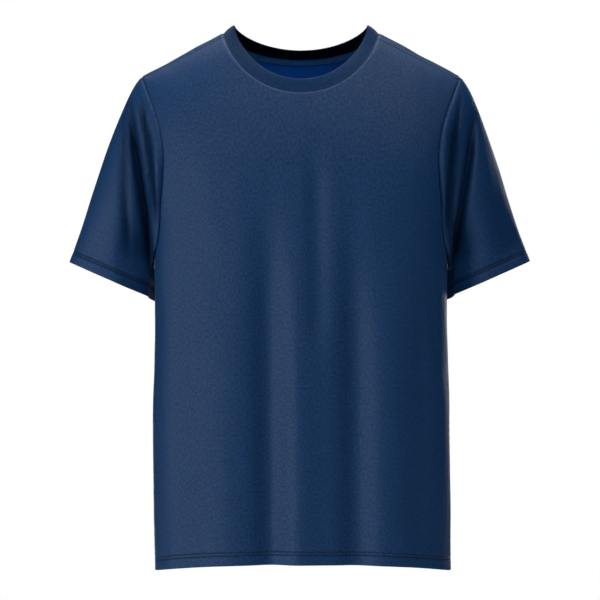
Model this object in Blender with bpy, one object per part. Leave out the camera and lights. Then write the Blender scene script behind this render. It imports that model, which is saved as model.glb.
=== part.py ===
"""Crew neck t-shirt in cotton jersey, filled out as it hangs on a body, with nobody inside.

Metres, +Z up. The front faces -Y and the wearer's left is +X. The origin is the middle of the
neck opening, level with the highest points of the neck rib. Six cut pieces are sewn together:
front, back, two sleeves, neck rib and the tape inside the back neck. Each is one closed wall of
cloth, and the walls stand 0.4 mm apart at the seams.

The body is a stack of rounded sections, closed over the shoulders by a dome. A point on it is
named by its side, a turn from the middle and a height. The seams are curves in turn and height,
each panel is a net of triangles inside its seams, and each sleeve is a loft from armhole to cuff.
"""
import math

import bmesh
import bpy
import numpy as np
from mathutils.geometry import delaunay_2d_cdt

# ---- driving dimensions, in metres
CLOTH = 0.0012            # wall of the jersey
HEM_WALL = 0.0020         # wall where the edge is turned up
HEM_DEPTH = 0.0150        # how far the body's hem is turned up
CUFF_DEPTH = 0.0150       # and the sleeves' hems
HEM_STEP = 0.0040         # the wall thins over this length above a hem
RIB_WALL = 0.0022         # neck rib, folded double
TAPE_WALL = 0.0010
TAPE_WIDTH = 0.0085
TAPE_FROM_SEAM = 0.0008   # the tape starts this far below the neck seam
TAPE_GAP = 0.0006         # between the tape and the back panel
RIB_SWELL = 0.0008        # the rib's outside is this much rounded
RIB_EDGE_TAPER = 0.5      # the folded edge of the rib is this thin, as a share of its wall
RIB_TAPER_FROM = 0.7      # and thins from this share of its height
SEAM_GAP = 0.0004         # between two pieces at a seam
BODY_POWER = {"front": 2.8, "back": 2.1}    # 2 is an ellipse, more is squarer
DOME_START = -0.200       # the sections start to close over the shoulders here
DOME_END = 0.050          # height value of the ridge line over the shoulders
HEM = -0.7214
HEM_RISE = 0.0139         # the front hem rises this much from the side seams to the middle
HEM_RISE_REACH = 0.30     # and the rise fades out this far up
UNDERARM = -0.305

# the ridge, seen from the front: a low arch at the neck, then straight shoulders
NECK_POINT = (0.1026, -0.0103)
SHOULDER_FALL = 0.538
ARCH_HALF_WIDTH = 0.090

# neck seam, seen from the front: drop below the neck point, and how round the curve is
NECK_SEAM = {
    "front": {"drop": 0.0831, "across": 2.15, "down": 1.45},
    "back": {"drop": 0.0282, "across": 2.00, "down": 1.35},
}
CORNER_SEARCH = (10.0, 89.0)    # the shoulder seam meets the neck between these ways round it
NECK_MARGIN_FALL = 0.40   # a curve below the neck seam falls this much of its margin more in the middle
# top edge of the rib: half width, height at the sides, drops and depths
RIB_EDGE_HALF_WIDTH = 0.0885
RIB_EDGE = {
    "front": {"drop": 0.0757, "depth": 0.0700, "across": 2.15, "down": 1.45},
    "back": {"drop": 0.0278, "depth": 0.0635, "across": 2.00, "down": 1.35},
}

HAND = {"right": -1.0, "left": 1.0}         # the wearer's right is -X

# sections of the body, bottom to top; sway moves a section towards the wearer's left
SECTION_COLUMNS = ("height", "half_width", "front", "back", "sway")
SECTIONS = (
    (-0.7214, 0.1957, 0.106, 0.106, 0.0026),
    (-0.6100, 0.1964, 0.101, 0.100, 0.0012),
    (-0.5300, 0.1964, 0.099, 0.096, 0.0004),
    (-0.4500, 0.1945, 0.098, 0.096, 0.0002),
    (-0.3700, 0.1932, 0.098, 0.101, 0.0000),
    (-0.3000, 0.1932, 0.098, 0.107, 0.0000),
    (-0.2400, 0.1972, 0.097, 0.110, 0.0000),
    (-0.2000, 0.2028, 0.096, 0.112, 0.0000),
    (-0.1200, 0.2160, 0.089, 0.115, 0.0000),
    (-0.0600, 0.2240, 0.083, 0.115, 0.0000),
    (0.0000, 0.2280, 0.080, 0.112, 0.0000),
    (0.0500, 0.2290, 0.078, 0.108, 0.0000),
)

# armhole: its distance from the middle, as a share of the section's half width
ARMHOLE_COLUMNS = ("height", "front", "back")
ARMHOLE = (
    (-0.305, 1.000, 1.000),
    (-0.290, 0.977, 0.979),
    (-0.268, 0.954, 0.959),
    (-0.240, 0.934, 0.941),
    (-0.205, 0.897, 0.914),
    (-0.170, 0.869, 0.894),
    (-0.140, 0.864, 0.889),
    (-0.105, 0.876, 0.894),
    (-0.060, 0.897, 0.907),
    (0.000, 0.916, 0.918),
    (0.050, 0.921, 0.921),
)

# the shoulder seam runs in front of the ridge; its place on the dome, ridge 1, start of the dome 0
SHOULDER_SEAM = {"right": 0.962, "left": 0.945}

# how a sleeve leaves the armhole: place round it (0 underarm, 0.25 front, 0.5 ridge, 0.75 back),
# direction, and how strongly it holds that direction and the cuff's own
SLEEVE_COLUMNS = ("place", "out", "rear", "up", "start_pull", "end_pull")
SLEEVE_START = (
    (0.00, 0.18, 0.32, -0.93, 0.07, 0.08),
    (0.12, 0.40, -0.20, -0.88, 0.10, 0.11),
    (0.25, 0.62, -0.34, -0.70, 0.14, 0.18),
    (0.38, 0.70, -0.20, -0.68, 0.14, 0.23),
    (0.50, 0.71, 0.00, -0.71, 0.13, 0.26),
    (0.62, 0.70, 0.24, -0.68, 0.14, 0.23),
    (0.75, 0.60, 0.42, -0.68, 0.15, 0.18),
    (0.88, 0.34, 0.46, -0.82, 0.11, 0.12),
    (1.00, 0.18, 0.32, -0.93, 0.07, 0.08),
)
# cuff: an ellipse from its outer end to its inner end, seen from the front it is one straight edge
CUFF_OUTER = {"right": (0.3076, 0.004, -0.3143), "left": (0.3046, 0.004, -0.3130)}
CUFF_INNER = {"right": (0.1840, 0.022, -0.3683), "left": (0.1840, 0.022, -0.3660)}
CUFF_HALF_DEPTH = 0.046
CUFF_LEAD = 0.045         # the cloth turns this share of the cuff forward on its way down
CUFF_END = (0.365, 0.000, -0.931)    # direction of the cloth where it ends
FACING_ALIKE = (0.0, 0.5)       # how alike the sleeve and the body must face to share a wall's direction
ARM_CLEARANCE = 0.0030    # the sleeve stays this far off the side of the body at the cuff
SLEEVE_FULLNESS = {"right": 1.14, "left": 1.0}    # how far it stands out over the upper arm
TUCK = 0.022              # a sleeve is drawn back this much beside the body
TUCK_REACH = 0.055        # up to this distance from the body's side
TUCK_HEIGHTS = (-0.315, -0.240)      # fully below the first, not at all above the second
TUCK_FADE = (0.10, 0.60)   # and it sets in over this part of the sleeve's length
SLEEVE_ROOM = 0.0040      # its front stands this much further off the body than its underside
ROOM_FADE = (0.0, 0.20)   # from this part of its length on
ROOM_PLACES = ((0.0, 0.09), (0.30, 0.45))    # between these places round the armhole

# folds, as lines seen from the front: x and z of both ends, sideways bow at the middle, half
# widths towards the wearer's right and left, and depth (minus is a trough); the right side is -x
FOLD_COLUMNS = ("x0", "z0", "x1", "z1", "bow", "right", "left", "depth")
FRONT_FOLDS = (
    (-0.046, -0.200, -0.040, -0.900, 0.002, 0.020, 0.024, -0.0145),
    (-0.010, -0.300, -0.006, -0.900, 0.000, 0.018, 0.030, 0.0075),
    (0.064, -0.200, 0.071, -0.900, 0.003, 0.018, 0.024, -0.0120),
    (0.018, -0.140, 0.022, -0.420, 0.000, 0.016, 0.018, -0.0050),
    (-0.100, -0.380, -0.096, -0.900, 0.000, 0.030, 0.024, 0.0030),
    (-0.166, -0.330, -0.164, -0.900, 0.000, 0.018, 0.026, 0.0030),
    (0.112, -0.300, 0.108, -0.900, 0.000, 0.026, 0.034, 0.0042),
)
BACK_FOLDS = (
    (-0.052, -0.220, -0.060, -0.900, 0.002, 0.026, 0.026, -0.0070),
    (0.045, -0.250, 0.056, -0.900, -0.003, 0.024, 0.024, -0.0060),
    (0.004, -0.160, -0.002, -0.480, 0.000, 0.022, 0.022, -0.0030),
    (-0.118, -0.330, -0.112, -0.900, 0.000, 0.030, 0.030, 0.0030),
    (0.112, -0.360, 0.118, -0.900, 0.000, 0.030, 0.030, 0.0030),
)
SLEEVE_FOLDS = {
    # "through" folds move the front and the back wall together, so that the walls stay apart
    ("right", "through"): (
        (-0.2013, -0.090, -0.1961, -0.315, 0.000, 0.0320, 0.0110, -0.0260),
    ),
    ("right", "front"): (
        (-0.2200, -0.085, -0.1950, -0.325, -0.006, 0.0080, 0.0070, -0.0080),
        (-0.2080, -0.085, -0.1860, -0.258, -0.001, 0.0070, 0.0060, -0.0060),
    ),
    ("left", "through"): (
        (0.2650, -0.080, 0.2950, -0.400, 0.000, 0.0300, 0.0300, -0.0140),
        (0.1990, -0.090, 0.1961, -0.315, 0.000, 0.0110, 0.0260, -0.0240),
    ),
    ("left", "front"): (
        (0.2105, -0.090, 0.1915, -0.275, -0.0045, 0.0065, 0.0070, -0.0060),
        (0.2310, -0.095, 0.1965, -0.328, 0.002, 0.0070, 0.0080, -0.0080),
    ),
    ("right", "back"): (
        (-0.2180, -0.115, -0.1990, -0.290, -0.003, 0.0110, 0.0110, -0.0080),
        (-0.2400, -0.150, -0.2140, -0.350, -0.003, 0.0130, 0.0130, -0.0055),
    ),
    ("left", "back"): (
        (0.2200, -0.120, 0.1990, -0.285, 0.003, 0.0115, 0.0115, -0.0085),
        (0.2440, -0.160, 0.2180, -0.350, 0.003, 0.0130, 0.0130, -0.0050),
    ),
}

# a fold sets in and fades out over these shares of its length
FOLD_FADE = {"in": (-0.05, 0.35), "out": (0.85, 1.10)}
# and over these: degrees from a side seam, heights under the shoulder, and the sleeve's length
# from the armhole and to its hem; a sleeve's front ends and its back starts over a range of y
SIDE_FADE = (3.0, 35.0)
SHOULDER_FADE = (-0.15, 0.0)
ARMHOLE_FADE = (0.0, 0.30)
CUFF_FADE = (0.85, 1.0)
CUFF_KEEPS = 0.5          # a sleeve's folds keep this share of their depth at its hem
FRONT_SHARE = (-0.005, 0.055)
BACK_SHARE = (-0.050, 0.005)

# steps along each stretch of a panel's edge; the sleeves and the rib take theirs from the panels
PANEL_STEPS = {"hem": 36, "side": 14, "armhole": 16, "shoulder": 7, "neck": 18}
PANEL_ROW = 0.020         # height between the rows of a panel above the underarm
NET_CLEARANCE = 0.5       # inner points keep this far off the seams, in steps
NET_INSIDE, NET_EPSILON = 1, 1e-6    # the net covers the inside of its outline
SLEEVE_STEPS = 16         # from armhole to cuff
RIB_STEPS = 3             # from seam to folded edge
TAPE_STEPS = 2
FINE_STEPS = 800          # a curve is measured along this many
SLOPE_TURN, SLOPE_HEIGHT = 0.2, 0.0008    # the body's slope is taken over these, degrees and metres
# a panel's edge passes these stretches from their far end to their near one
BACKWARD = ("shoulder_left", "neck", "armhole_right", "side_right")
SHARP_EDGE = math.radians(50)

# colour, roughness and metallic of each piece
FINISH = {
    "front": ((0.020, 0.044, 0.100, 1.0), 0.80, 0.0),
    "back": ((0.018, 0.040, 0.092, 1.0), 0.80, 0.0),
    "sleeve_left": ((0.016, 0.036, 0.084, 1.0), 0.80, 0.0),
    "sleeve_right": ((0.021, 0.046, 0.104, 1.0), 0.80, 0.0),
    "collar": ((0.014, 0.033, 0.080, 1.0), 0.86, 0.0),
    "neck_tape": ((0.026, 0.056, 0.110, 1.0), 0.82, 0.0),
}


# ---- tables and curves
def column(table, columns, name, at):
    """Reads one column of a table smoothly at the given keys, which its first column holds."""
    keys = np.array([row[0] for row in table])
    values = np.array([row[columns.index(name)] for row in table])
    steps = np.diff(keys)
    slopes = np.diff(values) / steps
    tangents = np.zeros_like(values)
    both = slopes[:-1] * slopes[1:] > 0
    mean = (slopes[:-1] * steps[1:] + slopes[1:] * steps[:-1]) / (steps[:-1] + steps[1:])
    tangents[1:-1] = np.where(both, mean, 0.0)
    tangents[0], tangents[-1] = slopes[0], slopes[-1]
    at = np.clip(at, keys[0], keys[-1])
    cell = np.clip(np.searchsorted(keys, at, side="right") - 1, 0, len(steps) - 1)
    t = (at - keys[cell]) / steps[cell]
    return (
        values[cell] * (1 + 2 * t) * (1 - t) ** 2
        + values[cell + 1] * t * t * (3 - 2 * t)
        + tangents[cell] * steps[cell] * t * (1 - t) ** 2
        - tangents[cell + 1] * steps[cell] * t * t * (1 - t)
    )


def section(name, height):
    return column(SECTIONS, SECTION_COLUMNS, name, height)


def unit(vectors):
    return vectors / np.linalg.norm(vectors, axis=-1, keepdims=True)


def ease(value, start, end):
    """0 before start, 1 after end, and a smooth ramp between them."""
    t = np.clip((value - start) / (end - start), 0.0, 1.0)
    return t * t * (3 - 2 * t)


def at_lengths(curve, fractions):
    """Parameters from 0 to 1 of the points that lie at these fractions of a curve's length."""
    fine = np.linspace(0.0, 1.0, FINE_STEPS + 1)
    lengths = np.linalg.norm(np.diff(curve(fine), axis=0), axis=1)
    travelled = np.concatenate([[0.0], np.cumsum(lengths)])
    return np.interp(np.asarray(fractions) * travelled[-1], travelled, fine)


def run_along(points):
    """Distance travelled along rows of points, from the first row."""
    steps = np.linalg.norm(np.diff(points, axis=0), axis=-1)
    return np.concatenate([np.zeros_like(steps[:1]), np.cumsum(steps, axis=0)])


# ---- the surface of the body
# A point is named by its side, front or back, a turn from -90 (wearer's right) to 90 (left), and a
# height. The back's heights go on past the ridge, and there they lie in front of it, because the
# back panel reaches over the shoulders to the shoulder seam.
def ridge_height(x):
    """Height of the line over the shoulders, at a distance from the middle."""
    x = np.abs(x)
    straight = NECK_POINT[1] - (x - NECK_POINT[0]) * SHOULDER_FALL
    join = NECK_POINT[1] - (ARCH_HALF_WIDTH - NECK_POINT[0]) * SHOULDER_FALL
    arch = join + SHOULDER_FALL * (ARCH_HALF_WIDTH**2 - x**2) / (2 * ARCH_HALF_WIDTH)
    return np.where(x > ARCH_HALF_WIDTH, straight, arch)


def share_of(turn, side):
    """Distance from the middle at a turn, as a share of the section's half width."""
    power = BODY_POWER[side]
    sine, cosine = np.sin(np.radians(turn)), np.cos(np.radians(turn))
    return sine * (np.abs(sine) ** power + np.abs(cosine) ** power) ** (-1 / power)


def turn_of(share, side):
    return np.degrees(np.arctan2(share, depth_share(share, side)))


def depth_share(share, side):
    power = BODY_POWER[side]
    return (1 - np.minimum(np.abs(share), 1.0) ** power) ** (1 / power)


def smooth_body(side, turn, height):
    """Points of the body before any fold."""
    share = share_of(turn, side)
    in_front = (height > DOME_END) | (side == "front")
    height = np.where(height > DOME_END, 2 * DOME_END - height, height)
    closing = np.clip((height - DOME_START) / (DOME_END - DOME_START), 0.0, 1.0) * math.pi / 2
    x = section("sway", height) + section("half_width", height) * share
    depth = np.where(
        in_front,
        -section("front", height) * depth_share(share, "front"),
        section("back", height) * depth_share(share, "back"),
    )
    z = np.minimum(height, DOME_START) + (ridge_height(x) - DOME_START) * np.sin(closing)
    rise = HEM_RISE * depth_share(share, "front") ** 2 * (1 - ease(height, HEM, HEM + HEM_RISE_REACH))
    z = z + np.where(in_front, rise, 0.0)
    return np.stack([x, depth * np.cos(closing), z], axis=-1)


def body_normals(side, turn, height):
    """Outward normals of the smooth body."""
    left, right = np.minimum(turn + SLOPE_TURN, 90.0), np.maximum(turn - SLOPE_TURN, -90.0)
    across = smooth_body(side, left, height) - smooth_body(side, right, height)
    above, below = (smooth_body(side, turn, height + step) for step in (SLOPE_HEIGHT, -SLOPE_HEIGHT))
    outward = 1.0 if side == "front" else -1.0
    return unit(np.cross(across, above - below)) * outward


def fold_height(points, folds):
    """How far a table's folds move points; the lines are those seen from the front."""
    x, z = points[..., 0], points[..., 2]
    total = np.zeros_like(x)
    for row in folds:
        fold = dict(zip(FOLD_COLUMNS, row))
        run_x, run_z = fold["x1"] - fold["x0"], fold["z1"] - fold["z0"]
        length = math.hypot(run_x, run_z)
        along = ((x - fold["x0"]) * run_x + (z - fold["z0"]) * run_z) / length**2
        across = ((z - fold["z0"]) * run_x - (x - fold["x0"]) * run_z) / length
        middle = np.clip(along, 0.0, 1.0)
        across = across - fold["bow"] * 4 * middle * (1 - middle)
        fade = ease(along, *FOLD_FADE["in"]) * (1 - ease(along, *FOLD_FADE["out"]))
        width = np.where(across < 0, fold["right"], fold["left"])
        total += fold["depth"] * fade * np.exp(-((across / width) ** 2))
    return total


def body(side, turn, height):
    """Points of the cloth on the body, folds and all, and the outward normals of its wall."""
    turn, height = np.asarray(turn, float), np.asarray(height, float)
    plain = smooth_body(side, turn, height)
    normals = body_normals(side, turn, height)
    folds = FRONT_FOLDS if side == "front" else BACK_FOLDS
    clear_of_seams = ease(90.0 - np.abs(turn), *SIDE_FADE) * (1 - ease(height, *SHOULDER_FADE))
    move = fold_height(plain, folds) * clear_of_seams
    return plain + normals * move[..., None], normals


# ---- seams, as turn and height on the body
def over_the_ridge(turn, height):
    """The same place of the body's front, as the back panel counts it."""
    return turn_of(share_of(turn, "front"), "back"), 2 * DOME_END - height


def oval(way, half_width, shapes, start):
    """x and z of a curve round the neck; way 0 is the front middle, 90 the wearer's left."""
    way = np.radians(way)
    in_front = np.cos(way) >= 0
    across, down, drop = (
        np.where(in_front, shapes["front"][name], shapes["back"][name])
        for name in ("across", "down", "drop")
    )
    x = half_width * np.sign(np.sin(way)) * np.abs(np.sin(way)) ** (2 / across)
    return x, start - drop * np.abs(np.cos(way)) ** (2 / down)


def place_of(x, z, side):
    """Turn and height of the point of the dome that is seen at x and z."""
    lift = np.clip((z - DOME_START) / (ridge_height(x) - DOME_START), -1.0, 1.0)
    height = DOME_START + (DOME_END - DOME_START) * np.arcsin(lift) / (math.pi / 2)
    return turn_of(x / section("half_width", height), side), height


def neck_seam(way, side, margin=0.0):
    """Turn and height of the neck seam at a way round it, as the front or back counts them.

    With a margin, the curve that runs about that far below it.
    """
    half_width = NECK_POINT[0] + margin
    x, z = oval(way, half_width, NECK_SEAM, ridge_height(half_width))
    z = z - margin * NECK_MARGIN_FALL * np.abs(np.cos(np.radians(way)))
    front_turn, front_height = place_of(x, z, "front")
    if side == "front":
        return front_turn, front_height
    over_turn, over_height = over_the_ridge(front_turn, front_height)
    back_turn, back_height = place_of(x, z, "back")
    in_front = np.cos(np.radians(way)) >= 0
    return np.where(in_front, over_turn, back_turn), np.where(in_front, over_height, back_height)


def armhole(height, side):
    """Turn of the armhole on the wearer's left, at heights as the front or back counts them."""
    folded = np.where(height > DOME_END, 2 * DOME_END - height, height)
    front = turn_of(column(ARMHOLE, ARMHOLE_COLUMNS, "front", folded), "front")
    if side == "front":
        return front
    back = turn_of(column(ARMHOLE, ARMHOLE_COLUMNS, "back", folded), "back")
    return np.where(height > DOME_END, over_the_ridge(front, folded)[0], back)


def shoulder_height(hand):
    """Height of the shoulder seam on the front, the same all along it."""
    return DOME_START + (DOME_END - DOME_START) * math.asin(SHOULDER_SEAM[hand]) / (math.pi / 2)


def neck_corner(hand):
    """Way round the neck, 0 to 90, at which the shoulder seam meets it."""
    ways = np.linspace(*CORNER_SEARCH, FINE_STEPS)
    return float(np.interp(shoulder_height(hand), neck_seam(ways, "front")[1], ways))


# ---- panels of the body
def panel_seams(side):
    """The curved seams of a panel: functions of 0..1 that give turn and height."""

    def armhole_seam(hand):
        top = shoulder_height(hand)
        top = top if side == "front" else 2 * DOME_END - top

        def seam(t):
            height = UNDERARM + (top - UNDERARM) * t
            return HAND[hand] * armhole(height, side), height

        return seam

    def shoulder_seam(hand):
        height = shoulder_height(hand)
        inner = neck_seam(np.array([neck_corner(hand)]), "front")[0]
        outer = armhole(np.array([height]), "front")

        def seam(t):
            turn, heights = inner + (outer - inner) * t, np.full_like(t, height)
            if side == "back":
                turn, heights = over_the_ridge(turn, heights)
            return HAND[hand] * turn, heights

        return seam

    def neck_part(t):
        start, end = neck_span(side)
        return neck_seam(start + (end - start) * t, side)

    return armhole_seam, shoulder_seam, neck_part


def neck_span(side):
    """Ways round the neck at which the front's or the back's part of it starts and ends."""
    right, left = -neck_corner("right"), neck_corner("left")
    return (right, left) if side == "front" else (right, left - 360.0)


def neck_ways(side):
    """Ways round the neck of a panel's points along it, from the wearer's right."""
    start, end = neck_span(side)
    count = PANEL_STEPS["neck"]
    _, _, neck_part = panel_seams(side)
    t = at_lengths(lambda t: smooth_body(side, *neck_part(t)), np.linspace(0.0, 1.0, count + 1))
    return start + (end - start) * t


def row_heights(top):
    """Heights of the rows of a panel: the hem's own, then evenly to the underarm and the top."""
    hem_rows = [HEM, HEM + HEM_DEPTH, HEM + HEM_DEPTH + HEM_STEP]
    low = np.linspace(hem_rows[-1], UNDERARM, PANEL_STEPS["side"] - 1)[1:]
    high = np.linspace(UNDERARM, top, int(round((top - UNDERARM) / PANEL_ROW)) + 1)[1:]
    return np.concatenate([hem_rows, low, high])


def panel_outline(side):
    """Turns and heights along a panel's edge, and where each stretch of it starts in them.

    The edge runs along the hem to the wearer's left, up to the neck, and back down the right.
    """
    armhole_seam, shoulder_seam, neck_part = panel_seams(side)
    rows = row_heights(DOME_END)[:PANEL_STEPS["side"] + 1]

    def hem(t):
        return -90.0 + 180.0 * t, np.full_like(t, HEM)

    def cut(seam, name):
        fractions = np.linspace(0.0, 1.0, PANEL_STEPS[name] + 1)
        return seam(at_lengths(lambda t: smooth_body(side, *seam(t)), fractions))

    stretches = (
        ("hem", cut(hem, "hem")),
        ("side_left", (np.full_like(rows, 90.0), rows)),
        ("armhole_left", cut(armhole_seam("left"), "armhole")),
        ("shoulder_left", cut(shoulder_seam("left"), "shoulder")),
        ("neck", cut(neck_part, "neck")),
        ("shoulder_right", cut(shoulder_seam("right"), "shoulder")),
        ("armhole_right", cut(armhole_seam("right"), "armhole")),
        ("side_right", (np.full_like(rows, -90.0), rows)),
    )
    turns, heights, starts = [], [], {}
    for name, (turn, height) in stretches:
        if name in BACKWARD:
            turn, height = turn[::-1], height[::-1]
        starts[name] = sum(len(part) for part in turns)
        turns.append(turn[:-1])
        heights.append(height[:-1])
    return np.concatenate(turns), np.concatenate(heights), starts


def inside(points, outline, clearance):
    """Which flat points lie inside an outline, at least a clearance from it."""
    crossed = np.zeros(len(points), bool)
    nearest = np.full(len(points), np.inf)
    for start, end in zip(outline, np.roll(outline, -1, axis=0)):
        run = end - start
        spans = (start[1] > points[:, 1]) != (end[1] > points[:, 1])
        x_there = start[0] + (points[:, 1] - start[1]) * run[0] / (run[1] if run[1] else 1.0)
        crossed ^= spans & (points[:, 0] < x_there)
        t = np.clip((points - start) @ run / (run @ run), 0.0, 1.0)
        nearest = np.minimum(nearest, np.linalg.norm(points - start - t[:, None] * run, axis=1))
    return crossed & (nearest > clearance)


def panel_net(side):
    """Turns and heights of a panel's points, its triangles, and where its stretches start.

    The edge comes first. Inner points stand in staggered rows, and the back has a row of its own
    along the lower edge of the neck tape.
    """
    turn, height, starts = panel_outline(side)
    count = len(turn)
    rows = row_heights(height.max())
    step = 180.0 / PANEL_STEPS["hem"]

    def flat(turns, heights):
        return np.stack([turns / step, np.interp(heights, rows, np.arange(len(rows)))], axis=-1)

    lines = [(i, (i + 1) % count) for i in range(count)]
    outline = keep_off = flat(turn, height)
    if side == "back":
        tape_turn, tape_height = neck_seam(neck_ways(side)[1:-1], side, TAPE_FROM_SEAM + TAPE_WIDTH)
        tape_turn, tape_height = tape_turn[::-1], tape_height[::-1]
        neck = starts["neck"] + 1
        lines += [(neck + i, count + i) for i in range(len(tape_turn))]
        lines += [(count + i, count + i + 1) for i in range(len(tape_turn) - 1)]
        tape_edge = flat(tape_turn, tape_height)
        keep_off = np.concatenate([outline[:neck], tape_edge, outline[starts["shoulder_right"]:]])
        turn, height = np.concatenate([turn, tape_turn]), np.concatenate([height, tape_height])
    reach = PANEL_STEPS["hem"] // 2
    stands = [(x + 0.5 * (row % 2), row) for row in range(1, len(rows) - 1) for x in range(-reach, reach)]
    stands = np.array(stands, float)
    stands = stands[inside(stands, keep_off, NET_CLEARANCE)]
    turn = np.concatenate([turn, stands[:, 0] * step])
    height = np.concatenate([height, np.interp(stands[:, 1], np.arange(len(rows)), rows)])
    points = [tuple(point) for point in flat(turn, height)]
    net = delaunay_2d_cdt(points, lines, [], NET_INSIDE, NET_EPSILON)
    order = [sources[0] for sources in net[3]]
    return turn, height, starts, [tuple(order[i] for i in face) for face in net[2]]


def wall_at(from_edge, hem_depth):
    """Thickness of the wall at a distance from a turned-up edge."""
    return HEM_WALL + (CLOTH - HEM_WALL) * ease(from_edge, hem_depth, hem_depth + HEM_STEP)


def panel_form(side):
    """A panel: its seam line, outer and inner points, outward normals and triangles."""
    turn, height, starts, faces = panel_net(side)
    points, normals = body(side, turn, height)
    edge = starts["side_right"] + PANEL_STEPS["side"]
    along = np.roll(points[:edge], -1, axis=0) - np.roll(points[:edge], 1, axis=0)
    inward = unit(np.cross(normals[:edge], along)) * (1.0 if side == "front" else -1.0)
    outer = points.copy()
    outer[:edge] += inward * SEAM_GAP / 2
    inner = outer - normals * wall_at(height - HEM, HEM_DEPTH)[:, None]
    return {
        "seam": points, "height": height, "starts": starts, "faces": faces, "edge": edge,
        "outer": outer, "inner": inner, "normals": normals,
    }


def stretch(panel, name, values):
    """A panel's values along one stretch of its edge, both ends among them."""
    count = PANEL_STEPS[name.split("_")[0]]
    indices = (panel["starts"][name] + np.arange(count + 1)) % panel["edge"]
    return panel[values][indices[::-1] if name in BACKWARD else indices]


def neck_loop(panels, values):
    """Values along the neck seam: the front's from the wearer's right, then on round the back."""
    front, back = (stretch(panels[side], "neck", values) for side in ("front", "back"))
    return np.concatenate([front[:-1], back[::-1][:-1]])


def armhole_loop(panels, values, hand):
    """Values round an armhole: up the front from the underarm, and down the back."""
    front, back = (stretch(panels[side], "armhole_" + hand, values) for side in ("front", "back"))
    return np.concatenate([front[:-1], back[::-1][:-1]])


# ---- sleeves
def armhole_places(panels, hand):
    """Place of each point of an armhole: 0 underarm, 0.5 the ridge, and 1 is underarm again."""
    points = armhole_loop(panels, "seam", hand)
    height = armhole_loop(panels, "height", hand)
    travelled = run_along(np.concatenate([points, points[:1]]))
    behind = slice(PANEL_STEPS["armhole"], None)
    ridge = np.interp(-DOME_END, -height[behind], travelled[:-1][behind])
    on_back = 0.5 + 0.5 * (travelled - ridge) / (travelled[-1] - ridge)
    return np.where(travelled < ridge, 0.5 * travelled / ridge, on_back)[:-1]


def cuff_ring(way, hand):
    """Points of the cuff's edge; way 0 inner end, 0.25 front, 0.5 outer end, 0.75 back."""
    outer, inner = np.array(CUFF_OUTER[hand]), np.array(CUFF_INNER[hand])
    middle, long_axis = (outer + inner) / 2, (outer - inner) / 2
    short_axis = unit(np.cross(long_axis, CUFF_END)) * CUFF_HALF_DEPTH
    short_axis = short_axis * np.sign(short_axis[1])
    turn = 2 * math.pi * way[..., None]
    ring = middle - long_axis * np.cos(turn) - short_axis * np.sin(turn)
    return ring * np.array([HAND[hand], 1.0, 1.0])


def off_the_body(points, clearance):
    """Moves points that are in the body, or too near its side, out from the middle."""
    x, y, z = points[..., 0], points[..., 1], points[..., 2]
    height = np.minimum(z, DOME_START)
    half_width = section("half_width", height) + clearance
    reach = np.ones_like(x)
    for side, here in (("front", y < 0), ("back", y >= 0)):
        power, depth = BODY_POWER[side], section(side, height) + clearance
        ratio = (np.abs(x / half_width) ** power + np.abs(y / depth) ** power) ** (1 / power)
        reach = np.where(here & (z < DOME_START), np.maximum(1 / ratio, 1.0), reach)
    return points * np.stack([reach, reach, np.ones_like(reach)], axis=-1)


def sleeve_room(place, s):
    """How much further a sleeve's front keeps off the body, so that its two walls stay apart."""
    start, end = (ease(place, *span) for span in ROOM_PLACES)
    return SLEEVE_ROOM * start * (1 - end) * ease(s, *ROOM_FADE)


def tuck_back(points, free):
    """Draws a sleeve back where it hangs beside the body."""
    x, y, z = points[..., 0], points[..., 1], points[..., 2]
    beside = 1 - ease(np.abs(x) - section("half_width", np.minimum(z, DOME_START)), 0.0, TUCK_REACH)
    back = TUCK * beside * (1 - ease(z, *TUCK_HEIGHTS)) * free
    return points + np.stack([0 * x, back, 0 * x], axis=-1)


def crease(points, hand, free):
    """Pushes a sleeve's folds in, straight back or forward, so that its walls never cross."""
    y = points[..., 1]
    front = fold_height(points, SLEEVE_FOLDS[hand, "front"]) * (1 - ease(y, *FRONT_SHARE))
    behind = fold_height(points, SLEEVE_FOLDS[hand, "back"]) * ease(y, *BACK_SHARE)
    through = fold_height(points, SLEEVE_FOLDS[hand, "through"])
    return points + np.stack([0 * y, (behind - front - through) * free, 0 * y], axis=-1)


def tube_normals(rings, hand):
    """Outward normals of a sleeve given as rings from armhole to cuff."""
    round_it = np.roll(rings, -1, axis=1) - np.roll(rings, 1, axis=1)
    return unit(np.cross(np.gradient(rings, axis=0), round_it)) * HAND[hand]


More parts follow.
